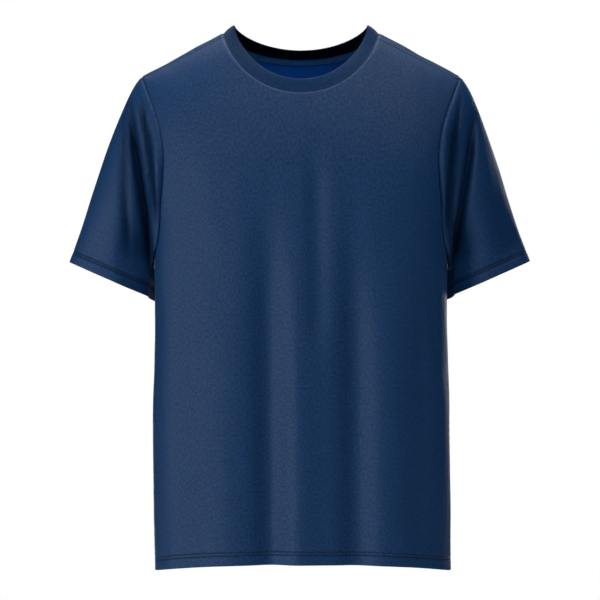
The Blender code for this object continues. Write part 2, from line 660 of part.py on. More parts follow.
def sleeve_rings(panels, hand):
    """Outer points of a sleeve, ring by ring from the armhole to the cuff."""
    place = armhole_places(panels, hand)
    read = {name: column(SLEEVE_START, SLEEVE_COLUMNS, name, place) for name in SLEEVE_COLUMNS[1:]}
    leave = unit(np.stack([HAND[hand] * read["out"], read["rear"], read["up"]], axis=-1))
    arrive = unit(np.array(CUFF_END)) * np.array([HAND[hand], 1.0, 1.0])
    start = armhole_loop(panels, "seam", hand) + leave * SEAM_GAP
    end = cuff_ring(CUFF_LEAD + at_lengths(lambda t: cuff_ring(CUFF_LEAD + t, hand), place), hand)
    s = np.linspace(0.0, 1.0, SLEEVE_STEPS + 1)[:, None, None]
    rings = (
        start * (1 + 2 * s) * (1 - s) ** 2
        + end * s * s * (3 - 2 * s)
        + leave * read["start_pull"][:, None] * SLEEVE_FULLNESS[hand] * s * (1 - s) ** 2
        - arrive * read["end_pull"][:, None] * s * s * (1 - s)
    )
    s = s[..., 0]
    clearance = SEAM_GAP + (ARM_CLEARANCE - SEAM_GAP) * s + sleeve_room(place, s)
    rings = off_the_body(tuck_back(rings, ease(s, *TUCK_FADE)), clearance)
    free = ease(s, *ARMHOLE_FADE) * (1 - (1 - CUFF_KEEPS) * ease(s, *CUFF_FADE))
    return off_the_body(crease(rings, hand, free), clearance)


def make_sleeve(panels, hand):
    """A tube of cloth; its wall starts along the armhole's own wall where the two face alike."""
    rings = sleeve_rings(panels, hand)
    normals = tube_normals(rings, hand)
    of_body = armhole_loop(panels, "normals", hand)
    alike = ease(np.sum(normals[0] * of_body, axis=-1), *FACING_ALIKE)[:, None]
    normals[0] = unit(normals[0] * (1 - alike) + of_body * alike)
    wall = wall_at(run_along(rings[::-1])[::-1], CUFF_DEPTH)[..., None]
    wall_object("sleeve_" + hand, rings, rings - normals * wall, grid_faces(rings, closed=True))


# ---- neck
def rib_edge(way):
    """Points along the folded top edge of the rib; way 0 is the front middle, 180 the back."""
    x, z = oval(way, RIB_EDGE_HALF_WIDTH, RIB_EDGE, 0.0)
    cosine = np.cos(np.radians(way))
    depth = np.where(cosine >= 0, -RIB_EDGE["front"]["depth"], RIB_EDGE["back"]["depth"])
    return np.stack([x, depth * np.abs(cosine), z], axis=-1)


def make_collar(panels):
    """The rib: a closed band from the neck seam to its folded edge, a little rounded outside."""
    base, of_body = neck_loop(panels, "seam"), neck_loop(panels, "normals")
    edge = rib_edge(np.concatenate([neck_ways("front")[:-1], neck_ways("back")[::-1][:-1]]))
    upward = unit(edge - base)
    base = base + upward * SEAM_GAP / 2
    along = np.roll(base, -1, axis=0) - np.roll(base, 1, axis=0)
    normals = unit(np.cross(along, upward))
    outer, inner = [], []
    for t in np.linspace(0.0, 1.0, RIB_STEPS + 1):
        wall_way = unit(of_body * (1 - t) + normals * t)
        wall = RIB_WALL * (1 - (1 - RIB_EDGE_TAPER) * ease(t, RIB_TAPER_FROM, 1.0))
        swell = RIB_SWELL * math.sin(math.pi * t)
        outer.append(base + (edge - base) * t + normals * swell - wall_way * (RIB_WALL - wall) / 2)
        inner.append(outer[-1] - wall_way * wall)
    outer = np.array(outer)
    wall_object("collar", outer, np.array(inner), grid_faces(outer, closed=True))


def make_tape(panels):
    """The tape over the back neck seam, inside the back panel, on its points moved inward."""
    panel = panels["back"]
    seam, normals = (stretch(panel, "neck", name)[::-1][1:-1] for name in ("inner", "normals"))
    lower = panel["inner"][panel["edge"]:panel["edge"] + len(seam)]
    outer = []
    for share in np.linspace(TAPE_FROM_SEAM / (TAPE_FROM_SEAM + TAPE_WIDTH), 1.0, TAPE_STEPS + 1):
        outer.append(seam + (lower - seam) * share - normals * TAPE_GAP)
    outer = np.array(outer)
    wall_object("neck_tape", outer, outer - normals * TAPE_WALL, grid_faces(outer))


# ---- objects
def grid_faces(grid, closed=False):
    """Four-sided faces over rows of points; a closed grid joins its last column to its first."""
    rows, columns = grid.shape[:2]
    faces = []
    for row in range(rows - 1):
        for start in range(columns if closed else columns - 1):
            end = (start + 1) % columns
            low, high = row * columns, (row + 1) * columns
            faces.append((low + start, low + end, high + end, high + start))
    return faces


def wall_object(name, outer, inner, faces):
    """One closed wall: the faces over the outer points, again over the inner ones, and a rim."""
    outer, inner = outer.reshape(-1, 3), inner.reshape(-1, 3)
    count = len(outer)
    edges = {(face[i - 1], face[i]) for face in faces for i in range(len(face))}
    rim = [(b, a, a + count, b + count) for a, b in sorted(edges) if (b, a) not in edges]
    inside_faces = [tuple(i + count for i in reversed(face)) for face in faces]
    mesh = bpy.data.meshes.new(name)
    points = [tuple(point) for point in np.concatenate([outer, inner])]
    mesh.from_pydata(points, [], list(faces) + inside_faces + rim)
    form = bmesh.new()
    form.from_mesh(mesh)
    bmesh.ops.recalc_face_normals(form, faces=form.faces)
    form.to_mesh(mesh)
    form.free()
    mesh.shade_smooth()
    mesh.set_sharp_from_angle(angle=SHARP_EDGE)
    mesh.materials.append(cloth_material(name))
    bpy.context.collection.objects.link(bpy.data.objects.new(name, mesh))


def cloth_material(name):
    colour, roughness, metallic = FINISH[name]
    material = bpy.data.materials.new(name + "_cloth")
    material.use_nodes = True
    shader = material.node_tree.nodes["Principled BSDF"]
    shader.inputs["Base Color"].default_value = colour
    shader.inputs["Roughness"].default_value = roughness
    shader.inputs["Metallic"].default_value = metallic
    material.diffuse_color = colour
    return material


def main():
    for thing in list(bpy.data.objects):
        bpy.data.objects.remove(thing, do_unlink=True)
    panels = {side: panel_form(side) for side in ("front", "back")}
    for side, form in panels.items():
        wall_object(side, form["outer"], form["inner"], form["faces"])
    make_sleeve(panels, "left")
    make_sleeve(panels, "right")
    make_collar(panels)
    make_tape(panels)


main()
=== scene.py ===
# %% [markdown]
# # A crew neck t-shirt in navy jersey
#
# This lesson dresses a plain model of a t-shirt. The frame brings six closed walls of cloth: front,
# back, two sleeves, the neck rib and a tape in the back neck. They have the right size and place,
# but their surface is coarse and bare. Here each is replaced by a finer shell of the same form,
# with creases, knit and sewing. First come the camera, the light and the floor, then the form, then
# the finish. Lengths are in metres, +Z is up, the front faces -Y and the wearer's left is +X.

# %% Load the frame
import functools
import math

import bmesh
import bpy
import numpy as np
from mathutils.geometry import delaunay_2d_cdt
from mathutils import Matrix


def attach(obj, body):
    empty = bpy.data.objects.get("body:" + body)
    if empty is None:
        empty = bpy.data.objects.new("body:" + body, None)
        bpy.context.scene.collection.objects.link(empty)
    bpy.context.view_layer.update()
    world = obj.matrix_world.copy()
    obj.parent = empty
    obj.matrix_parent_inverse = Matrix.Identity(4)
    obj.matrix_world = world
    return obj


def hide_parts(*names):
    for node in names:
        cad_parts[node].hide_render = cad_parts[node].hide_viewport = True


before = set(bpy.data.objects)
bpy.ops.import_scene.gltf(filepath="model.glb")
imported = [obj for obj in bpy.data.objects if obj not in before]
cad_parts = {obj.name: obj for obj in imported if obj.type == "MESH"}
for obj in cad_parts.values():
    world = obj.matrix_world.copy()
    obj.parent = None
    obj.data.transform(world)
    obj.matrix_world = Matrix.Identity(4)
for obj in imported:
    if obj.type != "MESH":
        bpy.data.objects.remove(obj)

bpy.ops.object.select_all(action="DESELECT")
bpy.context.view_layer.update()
print("solids:", ", ".join(sorted(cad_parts)))

# %% [markdown]
# ## Camera
#
# The shirt is seen straight from the front, from far enough away that hem and shoulders keep their
# true proportion. A long lens does that: the width that the picture takes in at the shirt's own
# distance is chosen first, and the focal length follows from it.

# %% Camera
CAMERA_DISTANCE = 4.0
CAMERA_CENTRE = (-0.0013, -0.36465)      # x and z that the middle of the picture looks at
PICTURE_WIDTH = 0.7956                   # what the picture takes in at the shirt
SENSOR_MM = 36.0

camera_data = bpy.data.cameras.new("camera")
camera_data.sensor_width = SENSOR_MM
camera_data.lens = SENSOR_MM * CAMERA_DISTANCE / PICTURE_WIDTH
camera = bpy.data.objects.new("camera", camera_data)
camera.location = (CAMERA_CENTRE[0], -CAMERA_DISTANCE, CAMERA_CENTRE[1])
camera.rotation_euler = (math.radians(90), 0, 0)
bpy.context.collection.objects.link(camera)
bpy.context.scene.camera = camera
print("lens", round(camera_data.lens, 1), "mm")

# %% [markdown]
# ## Nodes
#
# The sky and the materials are nets of nodes. Small helpers write such a net down shortly: a plain
# value is set on a node's input, and another node's output is linked to it.

# %% Node helpers
def feed(tree, node, given):
    """Sets a node's inputs: values directly, other nodes' outputs by a link."""
    for name, value in given.items():
        if isinstance(value, bpy.types.NodeSocket):
            tree.links.new(value, node.inputs[name])
        else:
            node.inputs[name].default_value = value
    return node


def add_node(tree, kind, given=None, **settings):
    """Adds a node with its own settings, and then its inputs."""
    node = tree.nodes.new("ShaderNode" + kind)
    for name, value in settings.items():
        setattr(node, name, value)
    return feed(tree, node, given or {})


def calculate(tree, operation, *values):
    """What a Math node makes of some values."""
    return add_node(tree, "Math", dict(enumerate(values)), operation=operation).outputs[0]


def new_material(name):
    """A material, its node tree and its shader."""
    material = bpy.data.materials.new(name)
    material.use_nodes = True
    return material, material.node_tree, material.node_tree.nodes["Principled BSDF"]


# %% [markdown]
# ## Light
#
# Long soft folds only show when light comes from one side, so the strongest lamp stands far to the
# left, hardly above the middle of the shirt. A second one above the front lights the chest, and a
# third, high behind, the shoulders. A small one behind on the right draws a thin bright line along
# that edge, which would be lost in the dark otherwise. A weak one beside the camera only opens the
# shadows: it throws no gloss. The last is for looks from behind. The sky is white where the camera
# looks at it, and much dimmer where it lights the cloth.

# %% Lamps and sky
AIM = (0.0, 0.0, -0.36)
# Turn is counted in degrees to the left of the camera, and rise in degrees above it.
LAMP_COLUMNS = ("name", "turn", "rise", "distance", "size", "power", "gloss")
LAMPS = (
    ("key_lamp", 60.0, 3.0, 3.2, 1.2, 50.0, True),
    ("top_lamp", -16.0, 48.0, 3.0, 1.6, 40.0, True),
    ("rear_lamp", 180.0, 75.0, 3.0, 1.6, 72.0, True),
    ("edge_lamp", -156.0, 6.0, 2.8, 1.2, 14.0, True),
    ("front_lamp", 0.0, 4.0, 3.6, 2.0, 7.0, False),
    ("back_lamp", 176.0, -5.0, 3.2, 1.6, 40.0, True),
)
SKY_LIGHT = 0.14
SKY_COLOUR = (0.90, 0.95, 1.0, 1.0)
SEEN_COLOUR = (1.0, 1.0, 1.0, 1.0)

for row in LAMPS:
    lamp = dict(zip(LAMP_COLUMNS, row))
    data = bpy.data.lights.new(lamp["name"], "AREA")
    data.size = lamp["size"]
    data.energy = lamp["power"]
    light = bpy.data.objects.new(lamp["name"], data)
    turn, rise = math.radians(lamp["turn"]), math.radians(lamp["rise"])
    level = lamp["distance"] * math.cos(rise)
    away = (-level * math.sin(turn), -level * math.cos(turn), lamp["distance"] * math.sin(rise))
    light.location = np.array(AIM) + away
    light.rotation_euler = (math.pi / 2 - rise, 0, -turn)
    light.visible_camera = False
    light.visible_glossy = lamp["gloss"]
    bpy.context.collection.objects.link(light)

world = bpy.data.worlds.new("studio")
world.use_nodes = True
bpy.context.scene.world = world
world.cycles_visibility.glossy = False
sky = world.node_tree
lighting = feed(sky, sky.nodes["Background"], {"Color": SKY_COLOUR, "Strength": SKY_LIGHT})
seen = add_node(sky, "Background", {"Color": SEEN_COLOUR})
path = add_node(sky, "LightPath")
choose = add_node(sky, "MixShader", {"Fac": path.outputs["Is Camera Ray"],
                                     1: lighting.outputs[0], 2: seen.outputs[0]})
feed(sky, sky.nodes["World Output"], {"Surface": choose.outputs[0]})
bpy.context.scene.view_settings.view_transform = "Standard"

# %% [markdown]
# ## Floor
#
# The shirt hangs as on a standing wearer, so the floor is where the feet would be, far below the
# picture. It is a plain pale disc. Its underside lets light and eye pass, so that the hem can be
# looked at from below.

# %% Floor
FLOOR_LEVEL = -1.47
FLOOR_RADIUS, FLOOR_EDGES = 3.2, 96
FLOOR_COLOUR, FLOOR_ROUGHNESS = (0.80, 0.80, 0.79, 1.0), 0.75

bpy.ops.mesh.primitive_circle_add(vertices=FLOOR_EDGES, radius=FLOOR_RADIUS, fill_type="NGON",
                                  location=(0, 0, FLOOR_LEVEL))
floor = bpy.context.object
floor.name = "floor"
bpy.ops.object.transform_apply(location=True, rotation=False, scale=False)
floor_material, net, paint = new_material("floor_paint")
feed(net, paint, {"Base Color": FLOOR_COLOUR, "Roughness": FLOOR_ROUGHNESS})
below, clear = add_node(net, "NewGeometry"), add_node(net, "BsdfTransparent")
mix = add_node(net, "MixShader", {"Fac": below.outputs["Backfacing"],
                                  1: paint.outputs[0], 2: clear.outputs[0]})
feed(net, net.nodes["Material Output"], {"Surface": mix.outputs[0]})
floor.data.materials.append(floor_material)
bpy.ops.object.select_all(action="DESELECT")

# %% [markdown]
# ## Sizes of the shirt
#
# The solids follow a few driving dimensions, and the finer shells follow the same ones. The body is
# a stack of rounded sections, closed over the shoulders by a dome. The seams are curves on it. The
# armhole is a table of its distance from the middle, and the sleeve a table of how its cloth leaves
# the armhole.

# %% Sizes of body and neck
CLOTH = 0.0010            # wall of the jersey
HEM_WALL = 0.0019         # wall where the edge is turned up
HEM_DEPTH = 0.0188        # how far the edges are turned up inside
HEM_STEP = 0.0006         # the cut edge of the turned-up cloth
RIB_WALL = 0.0022         # neck rib, folded double
TAPE_WALL = 0.0010
TAPE_WIDTH = 0.0085
TAPE_FROM_SEAM = 0.0008
TAPE_GAP = 0.0004         # between the tape and the back panel
RIB_SWELL = 0.0008        # how far the rib bulges half way up
SEAM_GAP = 0.00016        # between two pieces at a seam
BODY_POWER = {"front": 2.8, "back": 2.1}    # 2 is an ellipse, more is squarer
DOME_START = -0.200       # from here up the sections close over the shoulders
DOME_END = 0.050          # where the closed dome ends, as its heights are counted
HEM = -0.7214
HEM_RISE = 0.0139         # how much higher the hem hangs in the front middle
HEM_RISE_REACH = 0.30     # and how far up this is felt
UNDERARM = -0.305
NECK_POINT = (0.1026, -0.0103)
SHOULDER_FALL = 0.538     # slope of the shoulders
ARCH_HALF_WIDTH = 0.090   # between the shoulders the ridge is an arch
NECK_SEAM = {
    "front": {"drop": 0.0831, "across": 2.15, "down": 1.45},
    "back": {"drop": 0.0282, "across": 2.00, "down": 1.35},
}
CORNER_SEARCH = (10.0, 89.0)      # degrees round the neck where a shoulder seam may meet it
NECK_MARGIN_FALL = 0.40           # a line below the neck seam falls by this much of its margin more
RIB_EDGE_HALF_WIDTH = 0.0885
RIB_EDGE = {
    "front": {"drop": 0.0757, "depth": 0.0700, "across": 2.15, "down": 1.45},
    "back": {"drop": 0.0278, "depth": 0.0635, "across": 2.00, "down": 1.35},
}
HAND = {"right": -1.0, "left": 1.0}         # the wearer's right is -X
SHOULDER_SEAM = {"right": 0.962, "left": 0.945}       # share of the dome's rise
SECTION_COLUMNS = ("height", "half_width", "front", "back", "sway")
SECTIONS = (
    (-0.7214, 0.1957, 0.106, 0.106, 0.0026),
    (-0.6100, 0.1964, 0.101, 0.100, 0.0012),
    (-0.5300, 0.1964, 0.099, 0.096, 0.0004),
    (-0.4500, 0.1945, 0.098, 0.096, 0.0002),
    (-0.3700, 0.1932, 0.098, 0.101, 0.0000),
    (-0.3000, 0.1932, 0.098, 0.107, 0.0000),
    (-0.2400, 0.1972, 0.097, 0.110, 0.0000),
    (-0.2000, 0.2028, 0.096, 0.112, 0.0000),
    (-0.1200, 0.2160, 0.089, 0.115, 0.0000),
    (-0.0600, 0.2240, 0.083, 0.115, 0.0000),
    (0.0000, 0.2280, 0.080, 0.112, 0.0000),
    (0.0500, 0.2290, 0.078, 0.108, 0.0000),
)
ARMHOLE_COLUMNS = ("height", "front", "back")
ARMHOLE = (
    (-0.305, 1.000, 1.000),
    (-0.290, 0.977, 0.979),
    (-0.268, 0.954, 0.959),
    (-0.240, 0.934, 0.941),
    (-0.205, 0.897, 0.914),
    (-0.170, 0.869, 0.894),
    (-0.140, 0.864, 0.889),
    (-0.105, 0.876, 0.894),
    (-0.060, 0.897, 0.907),
    (0.000, 0.916, 0.918),
    (0.050, 0.921, 0.921),
)

# %% Sizes of the sleeves
SLEEVE_COLUMNS = ("place", "out", "rear", "up", "start_pull", "end_pull")
SLEEVE_START = (
    (0.00, 0.18, 0.32, -0.93, 0.07, 0.08),
    (0.12, 0.40, -0.20, -0.88, 0.10, 0.11),
    (0.25, 0.62, -0.34, -0.70, 0.14, 0.18),
    (0.38, 0.70, -0.20, -0.68, 0.14, 0.23),
    (0.50, 0.71, 0.00, -0.71, 0.13, 0.26),
    (0.62, 0.70, 0.24, -0.68, 0.14, 0.23),
    (0.75, 0.60, 0.42, -0.68, 0.15, 0.18),
    (0.88, 0.34, 0.46, -0.82, 0.11, 0.12),
    (1.00, 0.18, 0.32, -0.93, 0.07, 0.08),
)
CUFF_OUTER = {"right": (0.3076, 0.004, -0.3143), "left": (0.3046, 0.004, -0.3130)}
CUFF_INNER = {"right": (0.1840, 0.022, -0.3683), "left": (0.1840, 0.022, -0.3660)}
CUFF_HALF_DEPTH = 0.046
CUFF_LEAD = 0.045
CUFF_END = (0.365, 0.000, -0.931)
ARM_CLEARANCE = 0.0030    # between the sleeve's hem and the body
TUCK = 0.0220             # a sleeve is drawn back this much beside the body
TUCK_REACH = 0.055        # up to this distance from the body's side
TUCK_HEIGHTS = (-0.315, -0.240)      # fully below the first, not at all above the second
TUCK_FADE = (0.10, 0.60)  # and it sets in over this part of the sleeve's length
SLEEVE_ROOM = 0.0060      # its front stands this much further off the body than its underside
ROOM_FADE = (0.0, 0.20)   # from this part of its length on
ROOM_PLACES = ((0.0, 0.09), (0.30, 0.45))    # between these places round the armhole
FRONT_SHARE = (-0.005, 0.055)     # depths at which a sleeve's front ends and its back starts
BACK_SHARE = (-0.050, 0.005)
SLEEVE_FULLNESS = {"right": 1.14, "left": 1.0}

# %% [markdown]
# ## Folds
#
# A fold is a line seen from the front, with a width to each side and a depth. The cloth is pushed
# out or in along it, most on the line and less and less beside it. No two are alike in length,
# width or depth, because evenly repeated folds look like corrugated sheet. The sleeves have two
# kinds: the broad ones named through push front and underside back together, so that the two stay
# apart, and the narrow creases move only the front or only the back.

# %% Folds of the body
FOLD_COLUMNS = ("x0", "z0", "x1", "z1", "bow", "right", "left", "depth")
BODY_FOLDS = {
    "front": (
        (-0.046, -0.200, -0.040, -0.900, 0.002, 0.020, 0.024, -0.0145),
        (-0.010, -0.300, -0.006, -0.900, 0.000, 0.017, 0.030, 0.0075),
        (0.064, -0.200, 0.071, -0.900, 0.003, 0.018, 0.024, -0.0120),
        (0.018, -0.140, 0.022, -0.420, 0.000, 0.013, 0.016, -0.0055),
        (-0.100, -0.380, -0.096, -0.900, 0.000, 0.030, 0.024, 0.0030),
        (-0.166, -0.330, -0.164, -0.900, 0.000, 0.018, 0.026, 0.0030),
        (0.112, -0.300, 0.108, -0.900, 0.000, 0.026, 0.034, 0.0042),
        (0.158, -0.250, 0.155, -0.900, 0.000, 0.018, 0.018, -0.0022),
    ),
    "back": (
        (-0.052, -0.220, -0.060, -0.900, 0.002, 0.026, 0.026, -0.0070),
        (0.045, -0.250, 0.056, -0.900, -0.003, 0.024, 0.024, -0.0060),
        (0.004, -0.160, -0.002, -0.480, 0.000, 0.022, 0.022, -0.0030),
        (-0.118, -0.330, -0.112, -0.900, 0.000, 0.030, 0.030, 0.0030),
        (0.112, -0.360, 0.118, -0.900, 0.000, 0.030, 0.030, 0.0030),
    ),
}

# %% Folds of the sleeves
SLEEVE_FOLDS = {
    ("right", "through"): (
        (-0.2013, -0.090, -0.1961, -0.315, 0.000, 0.0320, 0.0110, -0.0260),
    ),
    ("right", "front"): (
        (-0.2300, -0.085, -0.1935, -0.325, 0.000, 0.0062, 0.0048, -0.0115),
        (-0.2130, -0.085, -0.1875, -0.262, 0.002, 0.0046, 0.0042, -0.0095),
        (-0.2370, -0.080, -0.2270, -0.300, 0.000, 0.0062, 0.0048, -0.0050),
    ),
    ("left", "through"): (
        (0.2650, -0.080, 0.2950, -0.400, 0.000, 0.0300, 0.0300, -0.0140),
        (0.1990, -0.090, 0.1961, -0.315, 0.000, 0.0110, 0.0260, -0.0240),
    ),
    ("left", "front"): (
        (0.2105, -0.090, 0.1915, -0.275, -0.0045, 0.0048, 0.0052, -0.0090),
        (0.2310, -0.095, 0.1965, -0.328, 0.002, 0.0054, 0.0062, -0.0100),
    ),
    ("right", "back"): (
        (-0.2180, -0.115, -0.1990, -0.290, -0.003, 0.0110, 0.0110, -0.0080),
        (-0.2400, -0.150, -0.2140, -0.350, -0.003, 0.0130, 0.0130, -0.0055),
    ),
    ("left", "back"): (
        (0.2200, -0.120, 0.1990, -0.285, 0.003, 0.0115, 0.0115, -0.0085),
        (0.2440, -0.160, 0.2180, -0.350, 0.003, 0.0130, 0.0130, -0.0050),
    ),
}
FOLD_FADE = {"in": (-0.05, 0.35), "out": (0.85, 1.10)}    # shares of a fold's length
SIDE_FADE = (3.0, 35.0)           # degrees from a side seam
SHOULDER_FADE = (-0.15, 0.0)      # heights under the shoulder
ARMHOLE_FADE = (0.0, 0.30)        # shares of the sleeve's length
CUFF_FADE = (0.85, 1.0)
CUFF_KEEPS = 0.5
CREASE_START = (0.0, 0.12)        # the narrow creases set in nearer to the armhole
CREASE_CLEAR = (0.0005, 0.0050)   # and fade out this close to the body's side
SOFTEN_STEPS = 12                 # the inner wall follows normals averaged this often
# Painted shade in the sleeves: creases and the broad recess this deep get their full share of it.
CREASE_DEPTH, RECESS_DEPTH = 0.010, 0.026    # creases this deep are fully shaded
CREASE_SHADE, RECESS_SHADE = 0.85, 0.35

# %% [markdown]
# ## Reading the tables
#
# A table gives a value at a few heights, and a smooth curve runs through them. The tangents are
# kept flat at a highest or lowest value, so the curve never swings past the numbers in the table.

# %% Curves
FINE_STEPS = 800          # a curve is measured along this many steps


def column(table, columns, name, at):
    """Reads one column of a table smoothly at the given keys, which its first column holds."""
    keys = np.array([row[0] for row in table])
    values = np.array([row[columns.index(name)] for row in table])
    steps = np.diff(keys)
    slopes = np.diff(values) / steps
    tangents = np.zeros_like(values)
    both = slopes[:-1] * slopes[1:] > 0
    mean = (slopes[:-1] * steps[1:] + slopes[1:] * steps[:-1]) / (steps[:-1] + steps[1:])
    tangents[1:-1] = np.where(both, mean, 0.0)
    tangents[0], tangents[-1] = slopes[0], slopes[-1]
    at = np.clip(at, keys[0], keys[-1])
    cell = np.clip(np.searchsorted(keys, at, side="right") - 1, 0, len(steps) - 1)
    t = (at - keys[cell]) / steps[cell]
    return (
        values[cell] * (1 + 2 * t) * (1 - t) ** 2
        + values[cell + 1] * t * t * (3 - 2 * t)
        + tangents[cell] * steps[cell] * t * (1 - t) ** 2
        - tangents[cell + 1] * steps[cell] * t * t * (1 - t)
    )


def section(name, height):
    return column(SECTIONS, SECTION_COLUMNS, name, height)


def unit(vectors):
    return vectors / np.linalg.norm(vectors, axis=-1, keepdims=True)


def ease(value, start, end):
    """0 before start, 1 after end, and a smooth ramp between them."""
    t = np.clip((value - start) / (end - start), 0.0, 1.0)
    return t * t * (3 - 2 * t)


def bell(distance, width):
    """1 on a line, falling softly to nothing beside it."""
    return np.exp(-((distance / width) ** 2))


def at_lengths(curve, fractions):
    """Parameters from 0 to 1 of the points that lie at these fractions of a curve's length."""
    fine = np.linspace(0.0, 1.0, FINE_STEPS + 1)
    travelled = run_along(curve(fine))
    return np.interp(np.asarray(fractions) * travelled[-1], travelled, fine)


def run_along(points):
    """Distance travelled along rows of points, from the first row."""
    steps = np.linalg.norm(np.diff(points, axis=0), axis=-1)
    return np.concatenate([np.zeros_like(steps[:1]), np.cumsum(steps, axis=0)])


def read_along(points, at, travelled):
    """Points of a line at some distances; its own points lie at the distances travelled."""
    return np.stack([np.interp(at, travelled, points[:, axis]) for axis in range(3)], axis=-1)


def close_up(ring):
    return np.concatenate([ring, ring[:1]])


# %% [markdown]
# ## The body's form
#
# A point of the body is named by its side, a turn from -90 degrees (wearer's right) to 90 (left)
# and a height. The back's heights go on past the ridge of the shoulders, because the back panel
# reaches over them to the shoulder seam in front.

# %% Smooth body
SLOPE_TURN, SLOPE_HEIGHT = 0.2, 0.0008      # the steps that a normal is measured over
OUTWARD = {"front": 1.0, "back": -1.0}


def ridge_height(x):
    """Height of the line over the shoulders, at a distance from the middle."""
    x = np.abs(x)
    straight = NECK_POINT[1] - (x - NECK_POINT[0]) * SHOULDER_FALL
    join = NECK_POINT[1] - (ARCH_HALF_WIDTH - NECK_POINT[0]) * SHOULDER_FALL
    arch = join + SHOULDER_FALL * (ARCH_HALF_WIDTH**2 - x**2) / (2 * ARCH_HALF_WIDTH)
    return np.where(x > ARCH_HALF_WIDTH, straight, arch)


def share_of(turn, side):
    """Distance from the middle at a turn, as a share of the section's half width."""
    power = BODY_POWER[side]
    sine, cosine = np.sin(np.radians(turn)), np.cos(np.radians(turn))
    return sine * (np.abs(sine) ** power + np.abs(cosine) ** power) ** (-1 / power)


def depth_share(share, side):
    power = BODY_POWER[side]
    return (1 - np.minimum(np.abs(share), 1.0) ** power) ** (1 / power)


def turn_of(share, side):
    return np.degrees(np.arctan2(share, depth_share(share, side)))


def smooth_body(side, turn, height):
    """Points of the body before any fold."""
    share = share_of(turn, side)
    in_front = (height > DOME_END) | (side == "front")
    height = np.where(height > DOME_END, 2 * DOME_END - height, height)
    closing = np.clip((height - DOME_START) / (DOME_END - DOME_START), 0.0, 1.0) * math.pi / 2
    x = section("sway", height) + section("half_width", height) * share
    depth = np.where(
        in_front,
        -section("front", height) * depth_share(share, "front"),
        section("back", height) * depth_share(share, "back"),
    )
    z = np.minimum(height, DOME_START) + (ridge_height(x) - DOME_START) * np.sin(closing)
    near_hem = 1 - ease(height, HEM, HEM + HEM_RISE_REACH)
    rise = HEM_RISE * depth_share(share, "front") ** 2 * near_hem
    z = z + np.where(in_front, rise, 0.0)
    return np.stack([x, depth * np.cos(closing), z], axis=-1)


def body_normals(side, turn, height):
    """Outward normals of the smooth body."""
    left, right = np.minimum(turn + SLOPE_TURN, 90.0), np.maximum(turn - SLOPE_TURN, -90.0)
    across = smooth_body(side, left, height) - smooth_body(side, right, height)
    steps = (SLOPE_HEIGHT, -SLOPE_HEIGHT)
    above, below = (smooth_body(side, turn, height + step) for step in steps)
    return unit(np.cross(across, above - below)) * OUTWARD[side]


def fold_height(points, folds):
    """How far a table's folds move points; the lines are those seen from the front."""
    x, z = points[..., 0], points[..., 2]
    total = np.zeros_like(x)
    for row in folds:
        fold = dict(zip(FOLD_COLUMNS, row))
        run_x, run_z = fold["x1"] - fold["x0"], fold["z1"] - fold["z0"]
        length = math.hypot(run_x, run_z)
        along = ((x - fold["x0"]) * run_x + (z - fold["z0"]) * run_z) / length**2
        across = ((z - fold["z0"]) * run_x - (x - fold["x0"]) * run_z) / length
        middle = np.clip(along, 0.0, 1.0)
        across = across - fold["bow"] * 4 * middle * (1 - middle)
        fade = ease(along, *FOLD_FADE["in"]) * (1 - ease(along, *FOLD_FADE["out"]))
        width = np.where(across < 0, fold["right"], fold["left"])
        total += fold["depth"] * fade * bell(across, width)
    return total


# %% [markdown]
# ## Seams
#
# Each seam is a curve in turn and height: the neck seam is an oval seen from the front, the
# shoulder seam runs in front of the ridge, and the armhole follows its table. Both neighbours read
# the same curve, so they always meet.

# %% Seam curves
def over_the_ridge(turn, height):
    """The same place of the body's front, as the back panel counts it."""
    return turn_of(share_of(turn, "front"), "back"), 2 * DOME_END - height


def oval(way, half_width, shapes, start):
    """x and z of a curve round the neck; way 0 is the front middle, 90 the wearer's left."""
    way = np.radians(way)
    in_front = np.cos(way) >= 0
    across, down, drop = (
        np.where(in_front, shapes["front"][name], shapes["back"][name])
        for name in ("across", "down", "drop")
    )
    x = half_width * np.sign(np.sin(way)) * np.abs(np.sin(way)) ** (2 / across)
    return x, start - drop * np.abs(np.cos(way)) ** (2 / down)


def place_of(x, z, side):
    """Turn and height of the point of the dome that is seen at x and z."""
    lift = np.clip((z - DOME_START) / (ridge_height(x) - DOME_START), -1.0, 1.0)
    height = DOME_START + (DOME_END - DOME_START) * np.arcsin(lift) / (math.pi / 2)
    return turn_of(x / section("half_width", height), side), height


def neck_seam(way, side, margin=0.0):
    """Turn and height of the neck seam, or of the curve a margin below it."""
    half_width = NECK_POINT[0] + margin
    x, z = oval(way, half_width, NECK_SEAM, ridge_height(half_width))
    z = z - margin * NECK_MARGIN_FALL * np.abs(np.cos(np.radians(way)))
    front_turn, front_height = place_of(x, z, "front")
    if side == "front":
        return front_turn, front_height
    over_turn, over_height = over_the_ridge(front_turn, front_height)
    back_turn, back_height = place_of(x, z, "back")
    in_front = np.cos(np.radians(way)) >= 0
    return np.where(in_front, over_turn, back_turn), np.where(in_front, over_height, back_height)


def armhole(height, side):
    """Turn of the armhole on the wearer's left, at heights as the front or back counts them."""
    folded = np.where(height > DOME_END, 2 * DOME_END - height, height)
    front = turn_of(column(ARMHOLE, ARMHOLE_COLUMNS, "front", folded), "front")
    if side == "front":
        return front
    back = turn_of(column(ARMHOLE, ARMHOLE_COLUMNS, "back", folded), "back")
    return np.where(height > DOME_END, over_the_ridge(front, folded)[0], back)


def shoulder_height(hand):
    """Height of the shoulder seam on the front, the same all along it."""
    return DOME_START + (DOME_END - DOME_START) * math.asin(SHOULDER_SEAM[hand]) / (math.pi / 2)


